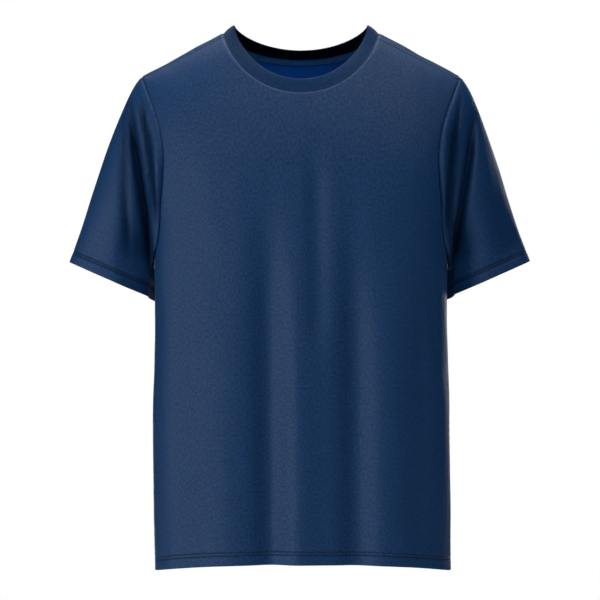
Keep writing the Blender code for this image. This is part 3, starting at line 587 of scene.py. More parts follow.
def neck_corner(hand):
    """Way round the neck, 0 to 90, at which the shoulder seam meets it."""
    ways = np.linspace(*CORNER_SEARCH, FINE_STEPS)
    return float(np.interp(shoulder_height(hand), neck_seam(ways, "front")[1], ways))


def neck_span(side):
    """Ways round the neck at which the front's or the back's part of it starts and ends."""
    right, left = -neck_corner("right"), neck_corner("left")
    return (right, left) if side == "front" else (right, left - 360.0)


def armhole_seam(side, hand):
    top = shoulder_height(hand)
    top = top if side == "front" else 2 * DOME_END - top

    def seam(t):
        height = UNDERARM + (top - UNDERARM) * t
        return HAND[hand] * armhole(height, side), height

    return seam


def shoulder_seam(side, hand):
    height = shoulder_height(hand)
    inner = neck_seam(np.array([neck_corner(hand)]), "front")[0]
    outer = armhole(np.array([height]), "front")

    def seam(t):
        turn, heights = inner + (outer - inner) * t, np.full_like(t, height)
        if side == "back":
            turn, heights = over_the_ridge(turn, heights)
        return HAND[hand] * turn, heights

    return seam


def neck_part(side):
    start, end = neck_span(side)
    return lambda t: neck_seam(start + (end - start) * t, side)


for hand in HAND:
    print(hand, "shoulder seam meets the neck", round(neck_corner(hand), 1), "degrees round it")

# %% [markdown]
# ## Outline of a panel
#
# The outline runs along the hem to the wearer's left, up to the neck and back down the right. Its
# points stand about three millimetres apart along the cloth.

# %% Panel outline
PANEL_STEPS = {"hem": 180, "side": 138, "armhole": 150, "shoulder": 40, "neck": 96}
BACKWARD = ("shoulder_left", "neck", "armhole_right", "side_right")


def panel_outline(side):
    """Turns and heights along a panel's edge, and where each stretch of it starts in them."""

    def cut(seam, name):
        fractions = np.linspace(0.0, 1.0, PANEL_STEPS[name] + 1)
        return seam(at_lengths(lambda t: smooth_body(side, *seam(t)), fractions))

    def side_seam(hand):
        return lambda t: (np.full_like(t, HAND[hand] * 90.0), HEM + (UNDERARM - HEM) * t)

    stretches = (
        ("hem", cut(lambda t: (-90.0 + 180.0 * t, np.full_like(t, HEM)), "hem")),
        ("side_left", cut(side_seam("left"), "side")),
        ("armhole_left", cut(armhole_seam(side, "left"), "armhole")),
        ("shoulder_left", cut(shoulder_seam(side, "left"), "shoulder")),
        ("neck", cut(neck_part(side), "neck")),
        ("shoulder_right", cut(shoulder_seam(side, "right"), "shoulder")),
        ("armhole_right", cut(armhole_seam(side, "right"), "armhole")),
        ("side_right", cut(side_seam("right"), "side")),
    )
    turns, heights, starts = [], [], {}
    for name, (turn, height) in stretches:
        if name in BACKWARD:
            turn, height = turn[::-1], height[::-1]
        starts[name] = sum(len(part) for part in turns)
        turns.append(turn[:-1])
        heights.append(height[:-1])
    return np.concatenate(turns), np.concatenate(heights), starts


# %% [markdown]
# ## A net of triangles
#
# A grid would be stretched and torn at the curved seams, so each panel is a net: rows of points
# follow its edge closely, where the cloth turns into the seam, and evenly staggered points fill the
# rest. They are laid out flat, with a degree of turn as long as it is on the cloth, and a Delaunay
# triangulation joins them.

# %% Panel net
DEGREE = 0.0032                 # length of a degree of turn on the flat panel
EDGE_ROWS = (0.0007, 0.0016, 0.0028, 0.0044)          # distances of the rows along an edge
HEM_ROWS = (0.0105, 0.0120, 0.0133, 0.0146, 0.0163, 0.0176, 0.0182, 0.0188, 0.0194, 0.0215)
NET_STEP = 0.0046
LOW_ROW = 0.0030                # one row of points between the hem's edge and its first stitches
ROW_KEEP, NET_CLEAR = 0.93, 0.45        # shares of a row and a step that points keep off the edge
NET_INSIDE, NET_EPSILON = 1, 1e-7       # what delaunay_2d_cdt gives back, and its precision


def nearest(points, line):
    """Distance of flat points from an open line, and how far along the line that is."""
    distance, along = np.full(len(points), np.inf), np.zeros(len(points))
    travelled = 0.0
    for start, end in zip(line[:-1], line[1:]):
        run = end - start
        length = math.hypot(*run)
        t = np.clip((points - start) @ run / length**2, 0.0, 1.0)
        here = np.linalg.norm(points - start - t[:, None] * run, axis=1)
        closer = here < distance
        distance = np.where(closer, here, distance)
        along = np.where(closer, travelled + t * length, along)
        travelled += length
    return distance, along


def is_inside(points, outline):
    crossed = np.zeros(len(points), bool)
    for start, end in zip(outline, np.roll(outline, -1, axis=0)):
        rise = (end[1] - start[1]) or 1.0
        spans = (start[1] > points[:, 1]) != (end[1] > points[:, 1])
        x_there = start[0] + (points[:, 1] - start[1]) * (end[0] - start[0]) / rise
        crossed ^= spans & (points[:, 0] < x_there)
    return crossed


def flatten(turn, height):
    return np.stack([turn * DEGREE, height], axis=-1)


def panel_net(side):
    """Turns and heights of a panel's points, its triangles, and where its stretches start."""
    turn, height, starts = panel_outline(side)
    outline = flatten(turn, height)
    edge = close_up(outline)
    count = len(outline)
    run = np.roll(outline, -1, axis=0) - np.roll(outline, 1, axis=0)
    inward = unit(np.stack([-run[:, 1], run[:, 0]], axis=-1))
    parts = [outline]
    for row in EDGE_ROWS:
        shifted = outline + inward * row
        keep = nearest(shifted, edge)[0] > row * ROW_KEEP
        parts.append(shifted[keep & is_inside(shifted, outline)])
    side_width = 90.0 * DEGREE
    hem_x = np.linspace(-side_width, side_width, PANEL_STEPS["hem"] + 1)[2:-2]
    for row in HEM_ROWS:
        parts.append(np.stack([hem_x, np.full_like(hem_x, HEM + row)], axis=-1))
    rise = NET_STEP * math.sqrt(3) / 2
    levels = np.arange(HEM + HEM_ROWS[-1] + rise, height.max(), rise)
    staggered = [(0.0, HEM + EDGE_ROWS[-1] + LOW_ROW)]
    staggered += [(0.5 * NET_STEP * (index % 2), level) for index, level in enumerate(levels)]
    across = np.arange(-side_width, side_width, NET_STEP)
    grid = np.array([(x + shift, level) for shift, level in staggered for x in across])
    clear = nearest(grid, edge)[0] > EDGE_ROWS[-1] + NET_STEP * NET_CLEAR
    parts.append(grid[clear & is_inside(grid, outline)])
    points = np.concatenate(parts)
    lines = [(i, (i + 1) % count) for i in range(count)]
    net = delaunay_2d_cdt([tuple(p) for p in points], lines, [], NET_INSIDE, NET_EPSILON)
    order = [sources[0] for sources in net[3]]
    faces = [tuple(order[i] for i in face) for face in net[2]]
    return points[:, 0] / DEGREE, points[:, 1], starts, faces


# %% [markdown]
# ## How cloth meets a seam and a hem
#
# At a seam both pieces turn in, which leaves a soft groove with small puckers where the thread has
# drawn the cloth together. A turned-up hem is double, and each row of its stitching sinks into it.
# Between the folds, jersey is never quite flat either: a few shallow waves that cross each other
# take the last stiffness out of the form.

# %% Relief near the sewing
SEAM_SINK, SEAM_WIDTH = 0.0010, 0.0019
PUCKER_HEIGHT, PUCKER_LENGTH, PUCKER_REACH, PUCKER_START = 0.00042, 0.0105, 0.0085, 0.003
PUCKER_DRIFT, DRIFT_WAVE = 2.1, 61.0        # uneven spacing; the wave is in radians a metre
PUCKER_SWELL, SWELL_WAVE = 0.45, 37.0       # and uneven height
HEM_STITCHES = (0.0133, 0.0176)
STITCH_SINK, STITCH_WIDTH = 0.00050, 0.0008
# Painted shade: seams and stitch rows are darkened in colour over these widths, seams by this
# share.
SEAM_SHADE_WIDTH, STITCH_SHADE_WIDTH = 0.0007, 0.00055
SEAM_SHADE = 0.55
EDGE_ROUND, EDGE_ROUND_REACH, EDGE_THIN = 0.0005, 0.0012, 0.45
WAVES = 26
WAVE_LENGTHS = (0.022, 0.085)
WAVE_HEIGHT = 0.00030
WAVE_UPRIGHT = 0.45             # less than 1 stretches the waves up and down
WAVE_START = 0.02               # distance from a seam at which they are whole


def slack(across, up, seed):
    """Shallow waves that cross each other."""
    draw = np.random.default_rng(seed)
    total = np.zeros_like(across)
    for _ in range(WAVES):
        length = WAVE_LENGTHS[0] * (WAVE_LENGTHS[1] / WAVE_LENGTHS[0]) ** draw.random()
        way, phase = draw.random() * math.pi, draw.random() * 2 * math.pi
        wave = 2 * math.pi / length
        step = across * math.cos(way) * wave + up * math.sin(way) * wave * WAVE_UPRIGHT + phase
        total += np.sin(step) * length / WAVE_LENGTHS[1]
    return total * WAVE_HEIGHT * 2 / math.sqrt(WAVES)


def seam_relief(distance, along):
    """Puckers at a distance from a seam."""
    drift = PUCKER_DRIFT * np.sin(along * DRIFT_WAVE)
    wave = np.sin(along * 2 * math.pi / PUCKER_LENGTH + drift)
    uneven = 1 - PUCKER_SWELL + PUCKER_SWELL * np.sin(along * SWELL_WAVE + 1.0)
    pucker = PUCKER_HEIGHT * wave * uneven * np.exp(-distance / PUCKER_REACH)
    return pucker * ease(distance, 0.0, PUCKER_START)


def seam_sink(distance):
    """Depth of the groove at a seam."""
    return -SEAM_SINK * bell(distance, SEAM_WIDTH)


def hem_relief(from_edge, rows):
    """Sunk rows of stitching and the rounded edge of a hem."""
    sink_and_shade = sum(bell(from_edge - row, STITCH_WIDTH) for row in rows) * STITCH_SINK
    return -sink_and_shade - EDGE_ROUND * (1 - ease(from_edge, 0.0, EDGE_ROUND_REACH)) ** 2


def wall_at(from_edge):
    """Thickness of the wall at a distance from a turned-up edge."""
    edge = HEM_WALL * (1 - EDGE_THIN * (1 - ease(from_edge, 0.0, EDGE_ROUND_REACH)) ** 2)
    return edge + (CLOTH - HEM_WALL) * ease(from_edge, HEM_DEPTH, HEM_DEPTH + HEM_STEP)


# %% Cloth of the body
SEED = {"front": 11, "back": 23, "right": 31, "left": 47}


@functools.cache
def seam_lines(side):
    """The sewn stretches of a panel's edge, as flat lines."""
    turn, height, starts = panel_outline(side)
    flat = close_up(flatten(turn, height))
    ends = list(starts.values())[1:] + [len(turn)]
    spans = zip(starts, starts.values(), ends)
    return [flat[start:end + 1] for name, start, end in spans if name != "hem"]


def sewn_shade(from_seam, from_edge, rows):
    """Painted shade of a seam or a row of stitching, by how deep cloth lies: 1 at the bottom of it.
    """
    sink_and_shade = bell(from_seam, SEAM_SHADE_WIDTH) * SEAM_SHADE
    for row in rows:
        sink_and_shade = np.maximum(sink_and_shade, bell(from_edge - row, STITCH_SHADE_WIDTH))
    return sink_and_shade


def body_cloth(side, turn, height):
    """Points of the finished cloth on the body, and the outward normals of the smooth body."""
    turn, height = np.asarray(turn, float), np.asarray(height, float)
    plain = smooth_body(side, turn, height)
    normals = body_normals(side, turn, height)
    clear_of_seams = ease(90.0 - np.abs(turn), *SIDE_FADE) * (1 - ease(height, *SHOULDER_FADE))
    flat = flatten(turn, height)
    move = fold_height(plain, BODY_FOLDS[side]) * clear_of_seams
    calm = np.ones_like(turn)
    for line in seam_lines(side):
        distance, along = nearest(flat, line)
        move = move + seam_relief(distance, along) + seam_sink(distance)
        calm = calm * ease(distance, 0.0, WAVE_START)
    move = move + slack(flat[:, 0], flat[:, 1], SEED[side]) * calm
    move = move + hem_relief(height - HEM, HEM_STITCHES)
    return plain + normals * move[:, None], normals


def panel_form(side):
    """A panel: its seam line, outer and inner points, outward normals and triangles."""
    turn, height, starts, faces = panel_net(side)
    points, normals = body_cloth(side, turn, height)
    seam = smooth_body(side, turn, height)
    edge = starts["side_right"] + PANEL_STEPS["side"]
    along = np.roll(points[:edge], -1, axis=0) - np.roll(points[:edge], 1, axis=0)
    inward = unit(np.cross(normals[:edge], along)) * OUTWARD[side]
    outer = points.copy()
    outer[:edge] += inward * SEAM_GAP / 2
    inner = outer - normals * wall_at(height - HEM)[:, None]
    flat = flatten(turn, height)
    from_seam = np.min([nearest(flat, line)[0] for line in seam_lines(side)], axis=0)
    return {
        "seam": seam, "height": height, "starts": starts, "faces": faces, "edge": edge,
        "outer": outer, "inner": inner, "normals": normals, "flat": flat,
        # painted shade in the seams and in the hem's stitch rows
        "sink_and_shade": sewn_shade(from_seam, height - HEM, HEM_STITCHES),
    }


def stretch(panel, name, values):
    """A panel's values along one stretch of its edge, both ends among them."""
    count = PANEL_STEPS[name.split("_")[0]]
    indices = (panel["starts"][name] + np.arange(count + 1)) % panel["edge"]
    return panel[values][indices[::-1] if name in BACKWARD else indices]


def round_trip(front, back):
    """Joins values along the front's edge with those on the way back along the back's."""
    return np.concatenate([front[:-1], back[::-1][:-1]])


def opening(name, values):
    """Values round the neck or an armhole, from the wearer's right or from the underarm."""
    return round_trip(*(stretch(panels[side], name, values) for side in ("front", "back")))


panels = {side: panel_form(side) for side in ("front", "back")}
for side, form in panels.items():
    print(side, len(form["outer"]), "points", len(form["faces"]), "triangles a face")

# %% [markdown]
# ## Shells
#
# A shell is one closed wall: the faces over its outer points, the same faces over its inner points
# turned round, and a rim between them. The inner faces get a finish of their own, because the
# inside of jersey is a brighter blue. A map named cloth holds how far each point lies across and up
# the cloth in metres, so that the knit has its real size.

# %% Shell maker
SHARP_EDGE = math.radians(50)


def grid_faces(rows, columns, closed=False):
    """Four-sided faces over rows of points; a closed grid joins its last column to its first."""
    faces = []
    for row in range(rows - 1):
        for start in range(columns if closed else columns - 1):
            end = (start + 1) % columns
            low, high = row * columns, (row + 1) * columns
            faces.append((low + start, low + end, high + end, high + start))
    return faces


def lay_map(mesh, places, girth=None):
    """Stores how far each corner lies across and up the cloth; a tube's girth closes it."""
    corner_points = np.empty(len(mesh.loops), int)
    mesh.loops.foreach_get("vertex_index", corner_points)
    corners = places[corner_points]
    if girth:
        starts = np.empty(len(mesh.polygons), int)
        sizes = np.empty(len(mesh.polygons), int)
        mesh.polygons.foreach_get("loop_start", starts)
        mesh.polygons.foreach_get("loop_total", sizes)
        widest = np.repeat(np.maximum.reduceat(corners[:, 0], starts), sizes)
        corners[:, 0] += np.where(widest - corners[:, 0] > girth / 2, girth, 0.0)
    layer = mesh.uv_layers.new(name="cloth")
    layer.data.foreach_set("uv", corners.astype(np.float32).ravel())


def make_shell(name, outer, inner, faces, places, girth=None, sink_and_shade=None):
    """Makes one closed wall of cloth, lays its map and marks where its colour gets painted shade.
    """
    outer, inner, places = outer.reshape(-1, 3), inner.reshape(-1, 3), places.reshape(-1, 2)
    count = len(outer)
    edges = {(face[i - 1], face[i]) for face in faces for i in range(len(face))}
    rim = [(b, a, a + count, b + count) for a, b in sorted(edges) if (b, a) not in edges]
    within = [tuple(i + count for i in reversed(face)) for face in faces]
    mesh = bpy.data.meshes.new(name)
    points = [tuple(p) for p in np.concatenate([outer, inner])]
    mesh.from_pydata(points, [], list(faces) + rim + within)
    finishes = [0] * (len(faces) + len(rim)) + [1] * len(within)
    mesh.polygons.foreach_set("material_index", finishes)
    lay_map(mesh, np.concatenate([places, places]), girth)
    # The painted shade goes on the outer points only.
    depth = np.zeros(count) if sink_and_shade is None else sink_and_shade.ravel()
    mark = mesh.attributes.new("sink_and_shade", "FLOAT", "POINT")
    mark.data.foreach_set("value", np.concatenate([depth, 0 * depth]).astype(np.float32))
    form = bmesh.new()
    form.from_mesh(mesh)
    bmesh.ops.recalc_face_normals(form, faces=form.faces)
    form.to_mesh(mesh)
    form.free()
    mesh.shade_smooth()
    mesh.set_sharp_from_angle(angle=SHARP_EDGE)
    piece = bpy.data.objects.new(name, mesh)
    bpy.context.collection.objects.link(piece)
    return piece


def make_sheet(name, outer, inner, places, girth=None, sink_and_shade=None):
    """A shell over a grid of points, which is closed to a tube where it has a girth."""
    faces = grid_faces(*outer.shape[:2], closed=girth is not None)
    return make_shell(name, outer, inner, faces, places, girth, sink_and_shade)


def girth_under_arm(outer):
    """Girth of a sleeve square to its length, where the last of its cloth leaves the armhole."""
    along = outer @ unit(outer[-1].mean(axis=0) - outer[0].mean(axis=0))
    level = along[0].max()
    threads = zip(outer.swapaxes(0, 1), along.T)
    ring = np.array([read_along(points, level, distances) for points, distances in threads])
    return float(run_along(close_up(ring))[-1])


def cloth_area(piece):
    """Area of one face of a shell."""
    return sum(polygon.area for polygon in piece.data.polygons) / 2


# %% Panels of the body
front, back = (
    make_shell(side + "_cloth", form["outer"], form["inner"], form["faces"], form["flat"],
               sink_and_shade=form["sink_and_shade"])
    for side, form in panels.items()
)
print("front", round(cloth_area(front), 3), "and back", round(cloth_area(back), 3), "square metres")

# %% [markdown]
# ## Sleeves
#
# A sleeve is a tube. Each of its threads leaves the armhole in a direction of the table and arrives
# at the cuff square to its edge, so a cubic curve between the two is all it takes. The rows are set
# closer near the seam and near the hem, at true distances from both, so that the stitching runs
# parallel to the edge.
#
# Beside the body the sleeve is drawn back, and its creases are pushed in. All of that moves the
# cloth straight back and never sideways, because then the front of the tube can't cut through its
# underside. The front also keeps a few millimetres further off the body, which leaves room for
# both, and the inner wall follows softened normals, so that it doesn't fold over in a crease. Deep
# in a crease hardly any light arrives, so its line is marked for the material, which darkens it.

# %% Sleeve form
CUFF_STITCHES = (0.0130, 0.0163)
CUFF_ROWS = (0.0, 0.0007, 0.0014, 0.0030, 0.0055, 0.0085, 0.0110, 0.0130, 0.0147, 0.0163, 0.0180,
             0.0186, 0.0194, 0.0215)
SLEEVE_ROWS = 124
DENSE_ROWS = 240                # the cubic curves are worked out in this many steps
SLEEVE_SPREAD = 1.3             # the waves lie this much closer together round a sleeve
ALIKE = 0.5                     # at the seam, a wall this much like the body's takes its normal


def armhole_places(hand):
    """Place of each point of an armhole: 0 underarm, 0.5 the ridge, and 1 is underarm again."""
    height = opening("armhole_" + hand, "height")
    travelled = run_along(close_up(opening("armhole_" + hand, "seam")))
    behind = slice(PANEL_STEPS["armhole"], None)
    ridge = np.interp(-DOME_END, -height[behind], travelled[:-1][behind])
    on_back = 0.5 + 0.5 * (travelled - ridge) / (travelled[-1] - ridge)
    return np.where(travelled < ridge, 0.5 * travelled / ridge, on_back)[:-1]


def cuff_ring(way, hand):
    """Points of the cuff's edge; way 0 inner end, 0.25 front, 0.5 outer end, 0.75 back."""
    outer, inner = np.array(CUFF_OUTER[hand]), np.array(CUFF_INNER[hand])
    middle, long_axis = (outer + inner) / 2, (outer - inner) / 2
    short_axis = unit(np.cross(long_axis, CUFF_END)) * CUFF_HALF_DEPTH
    short_axis = short_axis * np.sign(short_axis[1])
    turn = 2 * math.pi * way[..., None]
    ring = middle - long_axis * np.cos(turn) - short_axis * np.sin(turn)
    return ring * np.array([HAND[hand], 1.0, 1.0])


def off_the_body(points, clearance):
    """Moves points that are in the body, or too near its side, out from the middle."""
    x, y, z = points[..., 0], points[..., 1], points[..., 2]
    height = np.minimum(z, DOME_START)
    half_width = section("half_width", height) + clearance
    reach = np.ones_like(x)
    for side, here in (("front", y < 0), ("back", y >= 0)):
        power, depth = BODY_POWER[side], section(side, height) + clearance
        ratio = (np.abs(x / half_width) ** power + np.abs(y / depth) ** power) ** (1 / power)
        reach = np.where(here & (z < DOME_START), np.maximum(1 / ratio, 1.0), reach)
    return points * np.stack([reach, reach, np.ones_like(reach)], axis=-1)


def sleeve_room(place, s):
    """How much further a sleeve's front keeps off the body, so that its two walls stay apart."""
    start, end = (ease(place, *span) for span in ROOM_PLACES)
    return SLEEVE_ROOM * start * (1 - end) * ease(s, *ROOM_FADE)


def beside_body(points):
    """How far sideways points lie from the body's side."""
    return np.abs(points[..., 0]) - section("half_width", np.minimum(points[..., 2], DOME_START))


def move_back(points, distance):
    return points + np.stack([0 * distance, distance, 0 * distance], axis=-1)


def tuck_back(points, free):
    """Draws a sleeve back where it hangs beside the body."""
    beside = 1 - ease(beside_body(points), 0.0, TUCK_REACH)
    return move_back(points, TUCK * beside * (1 - ease(points[..., 2], *TUCK_HEIGHTS)) * free)


def crease(points, hand, free, near):
    """Pushes a sleeve's folds in, straight back or forward, so that its walls keep apart."""
    y = points[..., 1]
    front = fold_height(points, SLEEVE_FOLDS[hand, "front"]) * (1 - ease(y, *FRONT_SHARE))
    behind = fold_height(points, SLEEVE_FOLDS[hand, "back"]) * ease(y, *BACK_SHARE)
    through = fold_height(points, SLEEVE_FOLDS[hand, "through"])
    apart = near * ease(beside_body(points), *CREASE_CLEAR)
    return move_back(points, (behind - front) * apart - through * free)


def crease_shade(points, hand, free):
    """Painted shade on the front of a sleeve, by how deep in a crease it lies, 0 to 1."""
    deep = -fold_height(points, SLEEVE_FOLDS[hand, "front"]) / CREASE_DEPTH
    broad = -fold_height(points, SLEEVE_FOLDS[hand, "through"]) / RECESS_DEPTH
    share = (np.clip(deep, 0.0, 1.0) + RECESS_SHADE * np.clip(broad, 0.0, 1.0)) * free
    return np.clip(share, 0.0, 1.0) * (1 - ease(points[..., 1], *FRONT_SHARE)) * CREASE_SHADE


def tube_normals(rings, hand):
    """Outward normals of a sleeve given as rings from armhole to cuff."""
    round_it = np.roll(rings, -1, axis=1) - np.roll(rings, 1, axis=1)
    rows = np.concatenate([rings[:1], rings, rings[-1:]])
    down_it = rows[2:] - rows[:-2]
    return unit(np.cross(down_it, round_it)) * HAND[hand]


def soften(normals):
    """Normals averaged with their neighbours, so that the inner wall doesn't fold in a crease."""
    for _ in range(SOFTEN_STEPS):
        normals = (np.roll(normals, 1, axis=1) + normals * 2 + np.roll(normals, -1, axis=1)) / 4
        down = np.concatenate([normals[:1], normals, normals[-1:]])
        normals = (down[:-2] + normals * 2 + down[2:]) / 4
    return unit(normals)


def sleeve_threads(hand):
    """Smooth rings of a sleeve, close together, and each ring's share of the way down."""
    place = armhole_places(hand)
    read = {name: column(SLEEVE_START, SLEEVE_COLUMNS, name, place) for name in SLEEVE_COLUMNS[1:]}
    leave = unit(np.stack([HAND[hand] * read["out"], read["rear"], read["up"]], axis=-1))
    arrive = unit(np.array(CUFF_END)) * np.array([HAND[hand], 1.0, 1.0])
    start = opening("armhole_" + hand, "seam") + leave * SEAM_GAP / 2
    end = cuff_ring(CUFF_LEAD + at_lengths(lambda t: cuff_ring(CUFF_LEAD + t, hand), place), hand)
    s = np.linspace(0.0, 1.0, DENSE_ROWS + 1)[:, None, None]
    rings = (
        start * (1 + 2 * s) * (1 - s) ** 2
        + end * s * s * (3 - 2 * s)
        + leave * read["start_pull"][:, None] * SLEEVE_FULLNESS[hand] * s * (1 - s) ** 2
        - arrive * read["end_pull"][:, None] * s * s * (1 - s)
    )
    return rings, s[:, 0, 0]


def sleeve_form(hand):
    """A sleeve's outer and inner points, ring by ring, and its distances from seam and hem."""
    dense, shares = sleeve_threads(hand)
    travelled = run_along(dense)
    length = travelled[-1]
    near_seam = np.array((0.0,) + EDGE_ROWS)[:, None] + 0 * length
    near_cuff = length - np.array(CUFF_ROWS[::-1])[:, None]
    t = np.linspace(0.0, 1.0, SLEEVE_ROWS + 2)[1:-1, None]
    between = near_seam[-1] + (near_cuff[0] - near_seam[-1]) * t
    at = np.concatenate([near_seam, between, near_cuff])
    rings = np.empty(at.shape + (3,))
    s = np.empty(at.shape)
    for thread in range(at.shape[1]):
        s[:, thread] = np.interp(at[:, thread], travelled[:, thread], shares)
        rings[:, thread] = read_along(dense[:, thread], s[:, thread], shares)
    clearance = SEAM_GAP + (ARM_CLEARANCE - SEAM_GAP) * s + sleeve_room(armhole_places(hand), s)
    rings = off_the_body(tuck_back(rings, ease(s, *TUCK_FADE)), clearance)
    at_cuff = 1 - (1 - CUFF_KEEPS) * ease(s, *CUFF_FADE)
    free, near = ease(s, *ARMHOLE_FADE) * at_cuff, ease(s, *CREASE_START) * at_cuff
    rings = off_the_body(crease(rings, hand, free, near), clearance)
    # painted shade deep in the creases and in the recess beside the body
    shade = crease_shade(rings, hand, near)
    normals = tube_normals(rings, hand)
    from_seam, from_cuff = at, length - at
    around = run_along(close_up(rings[0]))[:-1]
    move = seam_relief(from_seam, around + 0 * at) + hem_relief(from_cuff, CUFF_STITCHES)
    waves = slack(rings[..., 1] * SLEEVE_SPREAD, rings[..., 2], SEED[hand])
    move = move + waves * ease(from_seam, 0.0, WAVE_START)
    of_body = opening("armhole_" + hand, "normals")
    outer = off_the_body(rings + normals * move[..., None], clearance)
    outer = outer + of_body * seam_sink(from_seam)[..., None]
    alike = ease(np.sum(normals[0] * of_body, axis=-1), 0.0, ALIKE)[:, None]
    inward = soften(normals)
    inward[0] = unit(normals[0] * (1 - alike) + of_body * alike)
    inner = outer - inward * wall_at(from_cuff)[..., None]
    girth = run_along(close_up(outer[-1]))
    places = np.stack([girth[:-1] + 0 * at, -from_seam], axis=-1)
    return {
        "outer": outer, "inner": inner, "normals": normals, "places": places,
        "girth": girth[-1], "from_cuff": from_cuff, "length": length,
        # painted shade in the seam, in the cuff's stitch rows and in the creases
        "sink_and_shade": np.maximum(sewn_shade(from_seam, from_cuff, CUFF_STITCHES), shade),
    }


# %% Sleeves
sleeves = {hand: sleeve_form(hand) for hand in HAND}
sleeve_pieces = {}
for hand, form in sleeves.items():
    parts = [form[name] for name in ("outer", "inner", "places", "girth", "sink_and_shade")]
    sleeve_pieces[hand] = make_sheet("sleeve_" + hand + "_cloth", *parts)
    print(hand, "sleeve", form["outer"].shape[:2], "points, hem", round(form["girth"], 3), "m")

# %% [markdown]
# ## Neck rib
#
# The rib is a band of one by one rib knit, folded double and sewn to the neck. Its ribs are real
# ridges here: the band has a few points for each of them, and every other one stands out a little.
# Towards the folded edge the wall rounds over.

# %% Rib form
RIB_PITCH = 0.00150             # from one rib to the next
RIB_POINTS = 4                  # points across a rib
RIB_HEIGHT = 0.00022
RIB_SPAN = 8                    # points to each side that give the rib's direction
RIB_DIP, RIB_DIP_REACH = 0.0004, 0.05        # it is drawn in at its seam
RIB_START = 0.06                # the ridges set in over this share of its height
RIB_EDGE_TAPER = 0.25           # what is left of the wall at the folded edge
RIB_UP = (0.0, 0.03, 0.08, 0.16, 0.28, 0.42, 0.56, 0.70, 0.82, 0.90, 0.95, 0.98, 1.0)
RIB_TAPER_FROM = 0.90


def rib_edge(way):
    """Points along the folded top edge of the rib; way 0 is the front middle, 180 the back."""
    x, z = oval(way, RIB_EDGE_HALF_WIDTH, RIB_EDGE, 0.0)
    cosine = np.cos(np.radians(way))
    depth = np.where(cosine >= 0, -RIB_EDGE["front"]["depth"], RIB_EDGE["back"]["depth"])
    return np.stack([x, depth * np.abs(cosine), z], axis=-1)


def neck_ways(side, shares):
    """Ways round the neck at shares of a panel's neck seam, from the wearer's right."""
    start, end = neck_span(side)
    part = neck_part(side)
    return start + (end - start) * at_lengths(lambda t: smooth_body(side, *part(t)), shares)


def rib_form():
    base, of_body = opening("neck", "seam"), opening("neck", "normals")
    shares = np.linspace(0.0, 1.0, PANEL_STEPS["neck"] + 1)
    edge = rib_edge(round_trip(neck_ways("front", shares), neck_ways("back", shares)))
    travelled = run_along(close_up(base))
    ribs = int(round(travelled[-1] / RIB_PITCH))
    at = np.arange(ribs * RIB_POINTS) * travelled[-1] / (ribs * RIB_POINTS)
    rings = (base, edge, of_body)
    base, edge, of_body = (read_along(close_up(ring), at, travelled) for ring in rings)
    upward = unit(edge - base)
    base = base + upward * SEAM_GAP / 2 - of_body * SEAM_SINK
    forward = np.roll(base, -RIB_SPAN, axis=0) - np.roll(base, RIB_SPAN, axis=0)
    normals = unit(np.cross(forward, upward))
    ridge = np.cos(2 * math.pi * np.arange(len(at)) / RIB_POINTS)[:, None] * RIB_HEIGHT
    outer, inner, places = [], [], []
    for t in RIB_UP:
        wall_way = unit(of_body * (1 - t) + normals * t)
        wall = RIB_WALL * (1 - (1 - RIB_EDGE_TAPER) * ease(t, RIB_TAPER_FROM, 1.0) ** 2)
        bulge = RIB_SWELL * math.sin(math.pi * t) - RIB_DIP * bell(t, RIB_DIP_REACH)
        raised = ridge * ease(t, 0.0, RIB_START)
        middle = base + (edge - base) * t + normals * (bulge + raised)
        outer.append(middle - wall_way * (RIB_WALL - wall) / 2)
        inner.append(outer[-1] - wall_way * wall - normals * raised * 2)
        height = np.linalg.norm(edge - base, axis=1) * t
        places.append(np.stack([at, height], axis=-1))
    return np.array(outer), np.array(inner), np.array(places), travelled[-1], ribs


rib_outer, rib_inner, rib_places, neck_length, rib_count = rib_form()
rib = make_sheet("neck_rib", rib_outer, rib_inner, rib_places, neck_length)
print("neck seam", round(neck_length, 3), "m round with", rib_count, "ribs")

# %% [markdown]
# ## Neck tape
#
# A narrow strip of jersey is stitched over the seam inside the back neck, from shoulder to
# shoulder. It lies on the back panel's inner face, so it is made from that face's own form, moved
# in.

# %% Tape
TAPE_ROWS = 8
TAPE_COLUMNS = 150
TAPE_ENDS = (0.03, 0.97)        # shares of the back neck seam
TAPE_ROUND = 0.00035            # the wall is thinner by this at its long edges


def tape_form():
    way = neck_ways("back", np.linspace(*TAPE_ENDS, TAPE_COLUMNS))
    outer, inner, places = [], [], []
    for share in np.linspace(0.0, 1.0, TAPE_ROWS):
        margin = TAPE_FROM_SEAM + TAPE_WIDTH * share
        points, normals = body_cloth("back", *neck_seam(way, "back", margin))
        body_inside = points - normals * CLOTH
        rounded = TAPE_ROUND * (2 * share - 1) ** 4
        outer.append(body_inside - normals * TAPE_GAP)
        inner.append(body_inside - normals * (TAPE_GAP + TAPE_WALL - rounded))
        places.append(np.stack([run_along(points), np.full(len(points), margin)], axis=-1))
    return np.array(outer), np.array(inner), np.array(places)


tape_outer, tape_inner, tape_places = tape_form()
tape = make_sheet("neck_tape_cloth", tape_outer, tape_inner, tape_places)
tape_length = run_along(tape_inner[0])[-1]
print("tape", round(tape_length, 3), "m long")

# %% [markdown]
# ## Stitches
#
# A row of sewing is made of single stitches: short rounded pieces of thread that dip into the cloth
# at both ends. One stitch is worked out as a few rings of points, and every other one is the same
# form set along the row's path, turned to the cloth there.

# %% Stitch maker
THREAD_RADIUS = 0.00028
STITCH_LENGTH = 0.0026
STITCH_PITCH = 0.0031
STITCH_SIDES = 6
STITCH_RINGS = ((-0.50, 0.25, -0.55), (-0.34, 0.85, 0.30), (0.0, 1.00, 0.62), (0.34, 0.85, 0.30),
                (0.50, 0.25, -0.55))      # place along, thickness, height, as shares


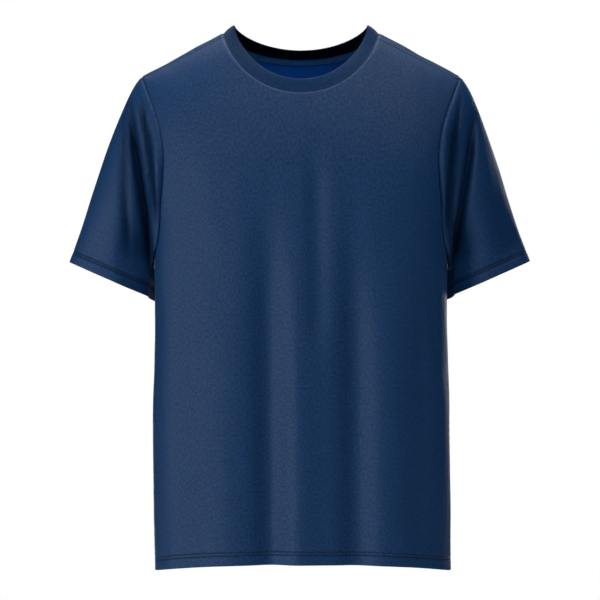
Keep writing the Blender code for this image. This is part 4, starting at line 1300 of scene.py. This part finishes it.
def stitch_rows(name, paths):
    """Joins rows of stitches along paths, each a pair of points and normals on the cloth."""
    spokes = np.arange(STITCH_SIDES) * 2 * math.pi / STITCH_SIDES
    model = np.array([
        (ring[0] * STITCH_LENGTH, THREAD_RADIUS * ring[1] * math.cos(spoke),
         THREAD_RADIUS * (ring[2] + ring[1] * math.sin(spoke)))
        for ring in STITCH_RINGS for spoke in spokes
    ])
    quads = grid_faces(len(STITCH_RINGS), STITCH_SIDES, closed=True)
    ends = (range(STITCH_SIDES), range(len(model) - 1, len(model) - STITCH_SIDES - 1, -1))
    model_faces = [tuple(reversed(face)) for face in quads] + [tuple(end) for end in ends]
    points, faces = [], []
    for path, normals in paths:
        travelled = run_along(path)
        count = int(travelled[-1] / STITCH_PITCH)
        at = (np.arange(count) + 0.5) * travelled[-1] / count
        centre = read_along(path, at, travelled)
        forward = unit(read_along(path, at + STITCH_LENGTH / 4, travelled) - centre)
        sideways = unit(np.cross(read_along(normals, at, travelled), forward))
        upward = np.cross(forward, sideways)
        for c, f, s, u in zip(centre, forward, sideways, upward):
            first = len(points) * len(model)
            points.append(c + model @ np.stack([f, s, u]))
            faces += [tuple(first + i for i in face) for face in model_faces]
    mesh = bpy.data.meshes.new(name)
    mesh.from_pydata([tuple(p) for p in np.concatenate(points)], [], faces)
    mesh.shade_smooth()
    piece = bpy.data.objects.new(name, mesh)
    bpy.context.collection.objects.link(piece)
    print(name, len(points), "stitches")
    return piece


# %% Stitched rows
HEM_STITCH_TURN = 89.6          # the rows of the hem end this close to the side seams
NECK_STITCH_MARGIN = 0.0023
SHOULDER_STITCH, SHOULDER_SPAN = 0.0019, (0.01, 0.99)


def hem_path(side, row):
    turn = np.linspace(-HEM_STITCH_TURN, HEM_STITCH_TURN, FINE_STEPS)
    return body_cloth(side, turn, np.full_like(turn, HEM + row))


def neck_path(side):
    start, end = neck_span(side)
    way = np.linspace(start, end, FINE_STEPS)
    turn, height = neck_seam(way, side, NECK_STITCH_MARGIN)
    return body_cloth(side, turn, height)


def shoulder_path(side, hand):
    turn, height = shoulder_seam(side, hand)(np.linspace(*SHOULDER_SPAN, FINE_STEPS))
    away = -SHOULDER_STITCH if side == "front" else SHOULDER_STITCH
    return body_cloth(side, turn, height + away)


def cuff_path(hand, row):
    form = sleeves[hand]
    ring = int(np.argmin(np.abs(form["from_cuff"][:, 0] - row)))
    return tuple(close_up(form[name][ring]) for name in ("outer", "normals"))


hem_stitches = {
    side: stitch_rows(side + "_hem_stitches", [hem_path(side, row) for row in HEM_STITCHES])
    for side in panels
}
neck_stitches = {side: stitch_rows(side + "_neck_stitches", [neck_path(side)]) for side in panels}
shoulder_stitches = {
    side: stitch_rows(side + "_shoulder_stitches", [shoulder_path(side, hand) for hand in HAND])
    for side in panels
}
sleeve_stitches = {
    hand: stitch_rows("sleeve_" + hand + "_stitches",
                      [cuff_path(hand, row) for row in CUFF_STITCHES])
    for hand in HAND
}

# %% [markdown]
# ## Knit
#
# Jersey shows small V shaped loops: two legs of yarn that lean together, in columns side by side.
# The relief is worked out from the cloth's own map: how far a point lies from the middle of its
# column, and a row count that slips with that distance, which gives the slant of the legs. It is
# one node group, because jersey, rib and tape all use it with loops of their own size.

# %% Knit group
LOOP_SLANT = 1.5                # how far the rows slip from the middle of a column to its edge
LOOP_LOW = 0.45                 # how high the legs are where they are lowest


def new_group(name, inputs, outputs):
    """An empty node group; its sockets are given as name: kind."""
    group = bpy.data.node_groups.new(name, "ShaderNodeTree")
    for way, sockets in (("INPUT", inputs), ("OUTPUT", outputs)):
        for label, kind in sockets.items():
            group.interface.new_socket(name=label, in_out=way, socket_type="NodeSocket" + kind)
    return group, group.nodes.new("NodeGroupInput"), group.nodes.new("NodeGroupOutput")


def make_knit_group():
    inputs = {"Place": "Vector", "Column Width": "Float", "Row Height": "Float"}
    group, given, result = new_group("knit_loops", inputs, {"Relief": "Float"})

    def do(operation, *values):
        return calculate(group, operation, *values)

    split = add_node(group, "SeparateXYZ", {0: given.outputs["Place"]})
    columns = do("DIVIDE", split.outputs["X"], given.outputs["Column Width"])
    rows = do("DIVIDE", split.outputs["Y"], given.outputs["Row Height"])
    off_middle = do("ABSOLUTE", do("SUBTRACT", do("FRACT", columns), 0.5))
    leg = do("SINE", do("MULTIPLY", off_middle, 2 * math.pi))
    slipped = do("ADD", rows, do("MULTIPLY", off_middle, LOOP_SLANT))
    wave = do("SINE", do("MULTIPLY", slipped, 2 * math.pi))
    loop = do("MULTIPLY_ADD", wave, 0.5, 0.5)
    relief = do("MULTIPLY", leg, do("MULTIPLY_ADD", loop, 1 - LOOP_LOW, LOOP_LOW))
    feed(group, result, {"Relief": relief})
    return group


knit_group = make_knit_group()

# %% [markdown]
# ## Mottled yarn
#
# The yarn is spun from fibres of several blues, so the cloth is mottled. Short flecks lie along the
# rows, wider patches are a little darker or lighter, and a fine fuzz breaks the surface up.

# %% Mottle group
MOTTLE_LAYERS = (               # scale across and up the cloth, detail and share
    ((400.0, 280.0, 1.0), 2.0, 0.55),        # flecks
    ((900.0, 2600.0, 1.0), 1.0, 0.30),       # fibres
    ((60.0, 40.0, 1.0), 2.0, 0.15),          # patches
)
MOTTLE_RANGE = (0.30, 0.70)


def make_mottle_group():
    inputs = {"Place": "Vector", "Dark": "Color", "Light": "Color"}
    group, given, result = new_group("mottled_yarn", inputs, {"Color": "Color", "Fleck": "Float"})
    layers, total = [], 0.0
    for scale, detail, share in MOTTLE_LAYERS:
        place = add_node(group, "Mapping", {"Vector": given.outputs["Place"], "Scale": scale})
        noise = add_node(group, "TexNoise", {"Vector": place.outputs["Vector"], "Scale": 1.0,
                                             "Detail": detail})
        layers.append(noise.outputs["Fac"])
        total = calculate(group, "ADD", total, calculate(group, "MULTIPLY", layers[-1], share))
    spread = add_node(group, "MapRange", {"Value": total, "From Min": MOTTLE_RANGE[0],
                                          "From Max": MOTTLE_RANGE[1]})
    mix = add_node(group, "Mix", {"Factor": spread.outputs["Result"], "A": given.outputs["Dark"],
                                  "B": given.outputs["Light"]}, data_type="RGBA")
    feed(group, result, {"Color": mix.outputs["Result"], "Fleck": layers[0]})
    return group


mottle_group = make_mottle_group()

# %% Cloth materials
CLOTH_COLUMNS = ("dark", "light", "column_width", "row_height", "relief", "roughness", "shine",
                 "sheen")
CLOTHS = {
    "jersey_outside": ((0.0004, 0.0205, 0.0760), (0.0016, 0.0400, 0.1320),
                       0.00085, 0.00062, 0.30, 0.52, 0.27, 0.02),
    "jersey_inside": ((0.0030, 0.0700, 0.3300), (0.0060, 0.0950, 0.4300),
                      0.00062, 0.00085, 0.22, 0.80, 0.05, 0.0),
    "rib_outside": ((0.0003, 0.0205, 0.0715), (0.0009, 0.0315, 0.1060),
                    0.00075, 0.00060, 0.30, 0.56, 0.20, 0.03),
    # The inside of the rib is near black: painted shade deep inside the collar.
    "rib_inside_painted_shade": ((0.0002, 0.0030, 0.0100), (0.0004, 0.0050, 0.0160),
                   0.00075, 0.00060, 0.30, 0.80, 0.05, 0.0),
    "tape": ((0.0100, 0.0800, 0.2500), (0.0200, 0.1200, 0.3300),
             0.00070, 0.00055, 0.28, 0.60, 0.25, 0.03),
}
LOOP_HEIGHT = 0.0003
GRAIN_STRENGTH, GRAIN_HEIGHT = 0.5, 0.0004
FLECK_RANGE, FLECK_SHINE = (0.35, 0.65), (0.76, 1.24)
SHEEN_ROUGHNESS, SHEEN_TINT = 0.45, (0.55, 0.70, 1.0, 1.0)
# Painted shade mixes the colour towards this dark blue, by at most this share, and takes the shine
# away.
PAINTED_SHADE_COLOUR, PAINTED_SHADE_SHARE = (0.0, 0.003, 0.012, 1.0), 0.85


def make_cloth(name):
    """Mottled knit, with its relief and sheen; painted shade darkens sewing and creases, which
    hardly shine.
    """
    cloth = dict(zip(CLOTH_COLUMNS, CLOTHS[name]))
    material, tree, shader = new_material(name)
    place = add_node(tree, "UVMap", uv_map="cloth").outputs["UV"]
    mottle = add_node(tree, "Group", {"Place": place, "Dark": cloth["dark"] + (1.0,),
                                      "Light": cloth["light"] + (1.0,)}, node_tree=mottle_group)
    knit = add_node(tree, "Group", {"Place": place, "Column Width": cloth["column_width"],
                                    "Row Height": cloth["row_height"]}, node_tree=knit_group)
    fleck = mottle.outputs["Fleck"]
    grain = add_node(tree, "Bump", {"Strength": GRAIN_STRENGTH, "Distance": GRAIN_HEIGHT,
                                    "Height": fleck})
    bump = add_node(tree, "Bump", {"Strength": cloth["relief"], "Distance": LOOP_HEIGHT,
                                   "Height": knit.outputs["Relief"],
                                   "Normal": grain.outputs["Normal"]})
    # Painted shade: where the mark is set, the colour turns darker and the shine drops.
    sink_and_shade = add_node(tree, "Attribute", attribute_name="sink_and_shade")
    painted_shade = calculate(tree, "MULTIPLY", sink_and_shade.outputs["Fac"], PAINTED_SHADE_SHARE)
    colour = add_node(tree, "Mix", {"Factor": painted_shade, "A": mottle.outputs["Color"],
                                    "B": PAINTED_SHADE_COLOUR}, data_type="RGBA")
    shine = add_node(tree, "MapRange", {
        "Value": fleck, "From Min": FLECK_RANGE[0], "From Max": FLECK_RANGE[1],
        "To Min": cloth["shine"] * FLECK_SHINE[0], "To Max": cloth["shine"] * FLECK_SHINE[1]})
    unshaded = calculate(tree, "SUBTRACT", 1.0, painted_shade)
    feed(tree, shader, {
        "Base Color": colour.outputs["Result"],
        "Roughness": cloth["roughness"],
        "Specular IOR Level": calculate(tree, "MULTIPLY", shine.outputs["Result"], unshaded),
        "Normal": bump.outputs["Normal"],
        "Sheen Weight": cloth["sheen"],
        "Sheen Roughness": SHEEN_ROUGHNESS,
        "Sheen Tint": SHEEN_TINT,
    })
    return material


cloths = {name: make_cloth(name) for name in CLOTHS}

# %% Thread material
THREADS = {
    "navy_thread": ((0.0010, 0.0120, 0.040, 1.0), (0.0030, 0.0240, 0.075, 1.0)),
    "light_thread": ((0.06, 0.12, 0.24, 1.0), (0.12, 0.20, 0.34, 1.0)),
    "mid_thread": ((0.05, 0.10, 0.20, 1.0), (0.10, 0.17, 0.29, 1.0)),
}
TWIST_LENGTH = 0.0005
THREAD_RELIEF, THREAD_HEIGHT, THREAD_ROUGHNESS = 0.4, 0.0001, 0.55


def make_thread(name):
    material, tree, shader = new_material(name)
    dark, light = THREADS[name]
    place = add_node(tree, "TexCoord")
    noise = add_node(tree, "TexNoise", {"Vector": place.outputs["Object"],
                                        "Scale": 1 / TWIST_LENGTH})
    twist = noise.outputs["Fac"]
    colour = add_node(tree, "Mix", {"Factor": twist, "A": dark, "B": light}, data_type="RGBA")
    bump = add_node(tree, "Bump", {"Strength": THREAD_RELIEF, "Distance": THREAD_HEIGHT,
                                   "Height": twist})
    feed(tree, shader, {"Base Color": colour.outputs["Result"], "Normal": bump.outputs["Normal"],
                        "Roughness": THREAD_ROUGHNESS})
    return material


threads = {name: make_thread(name) for name in THREADS}

# %% [markdown]
# ## Putting it together
#
# Each shell takes the place of its solid and rides on the one body. The size it was cut to is
# printed at the end. The sizes are measured along the cloth: half the girth and the length from hem
# to neck point for a panel, the girth under the arm and the length from cap to hem for a sleeve.

# %% Finish, ride and replace
JERSEY = ("jersey_outside", "jersey_inside")
PIECES = (
    (front, "front", "jersey", JERSEY),
    (back, "back", "jersey", JERSEY),
    (sleeve_pieces["right"], "sleeve_right", "jersey", JERSEY),
    (sleeve_pieces["left"], "sleeve_left", "jersey", JERSEY),
    (rib, "collar", "rib", ("rib_outside", "rib_inside_painted_shade")),
    (tape, "neck_tape", "tape", ("tape", "tape")),
)
for piece, node, slot, finishes in PIECES:
    for finish in finishes:
        piece.data.materials.append(cloths[finish])
    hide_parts(node)
    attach(piece, "root")

SEWING = (
    ("navy_thread", list(hem_stitches.values()) + list(sleeve_stitches.values())),
    ("light_thread", list(neck_stitches.values())),
    ("mid_thread", list(shoulder_stitches.values())),
)
for name, rows in SEWING:
    for piece in rows:
        piece.data.materials.append(threads[name])
        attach(piece, "root")

# %% Cut sizes
def row_length(side, height):
    turn = np.linspace(-90.0, 90.0, FINE_STEPS)
    return run_along(body_cloth(side, turn, np.full_like(turn, height))[0])[-1]


def panel_length(side):
    """From the hem up the cloth to the neck point, above which the panel ends."""
    top = shoulder_height("left")
    height = np.linspace(HEM, top if side == "front" else 2 * DOME_END - top, FINE_STEPS)
    turn = np.full_like(height, neck_seam(np.array([neck_corner("left")]), side)[0][0])
    return run_along(body_cloth(side, turn, height)[0])[-1]


for piece, side in ((front, "front"), (back, "back")):
    width, length = row_length(side, UNDERARM), panel_length(side)
    cloth_area(piece)
    print(side, "panel", round(width, 3), "x", round(length, 3), "m")
for hand, piece in sleeve_pieces.items():
    form = sleeves[hand]
    width = girth_under_arm(form["outer"])
    length = float(form["length"].max())
    cloth_area(piece)
    print(hand, "sleeve", round(width, 3), "x", round(length, 3), "m")
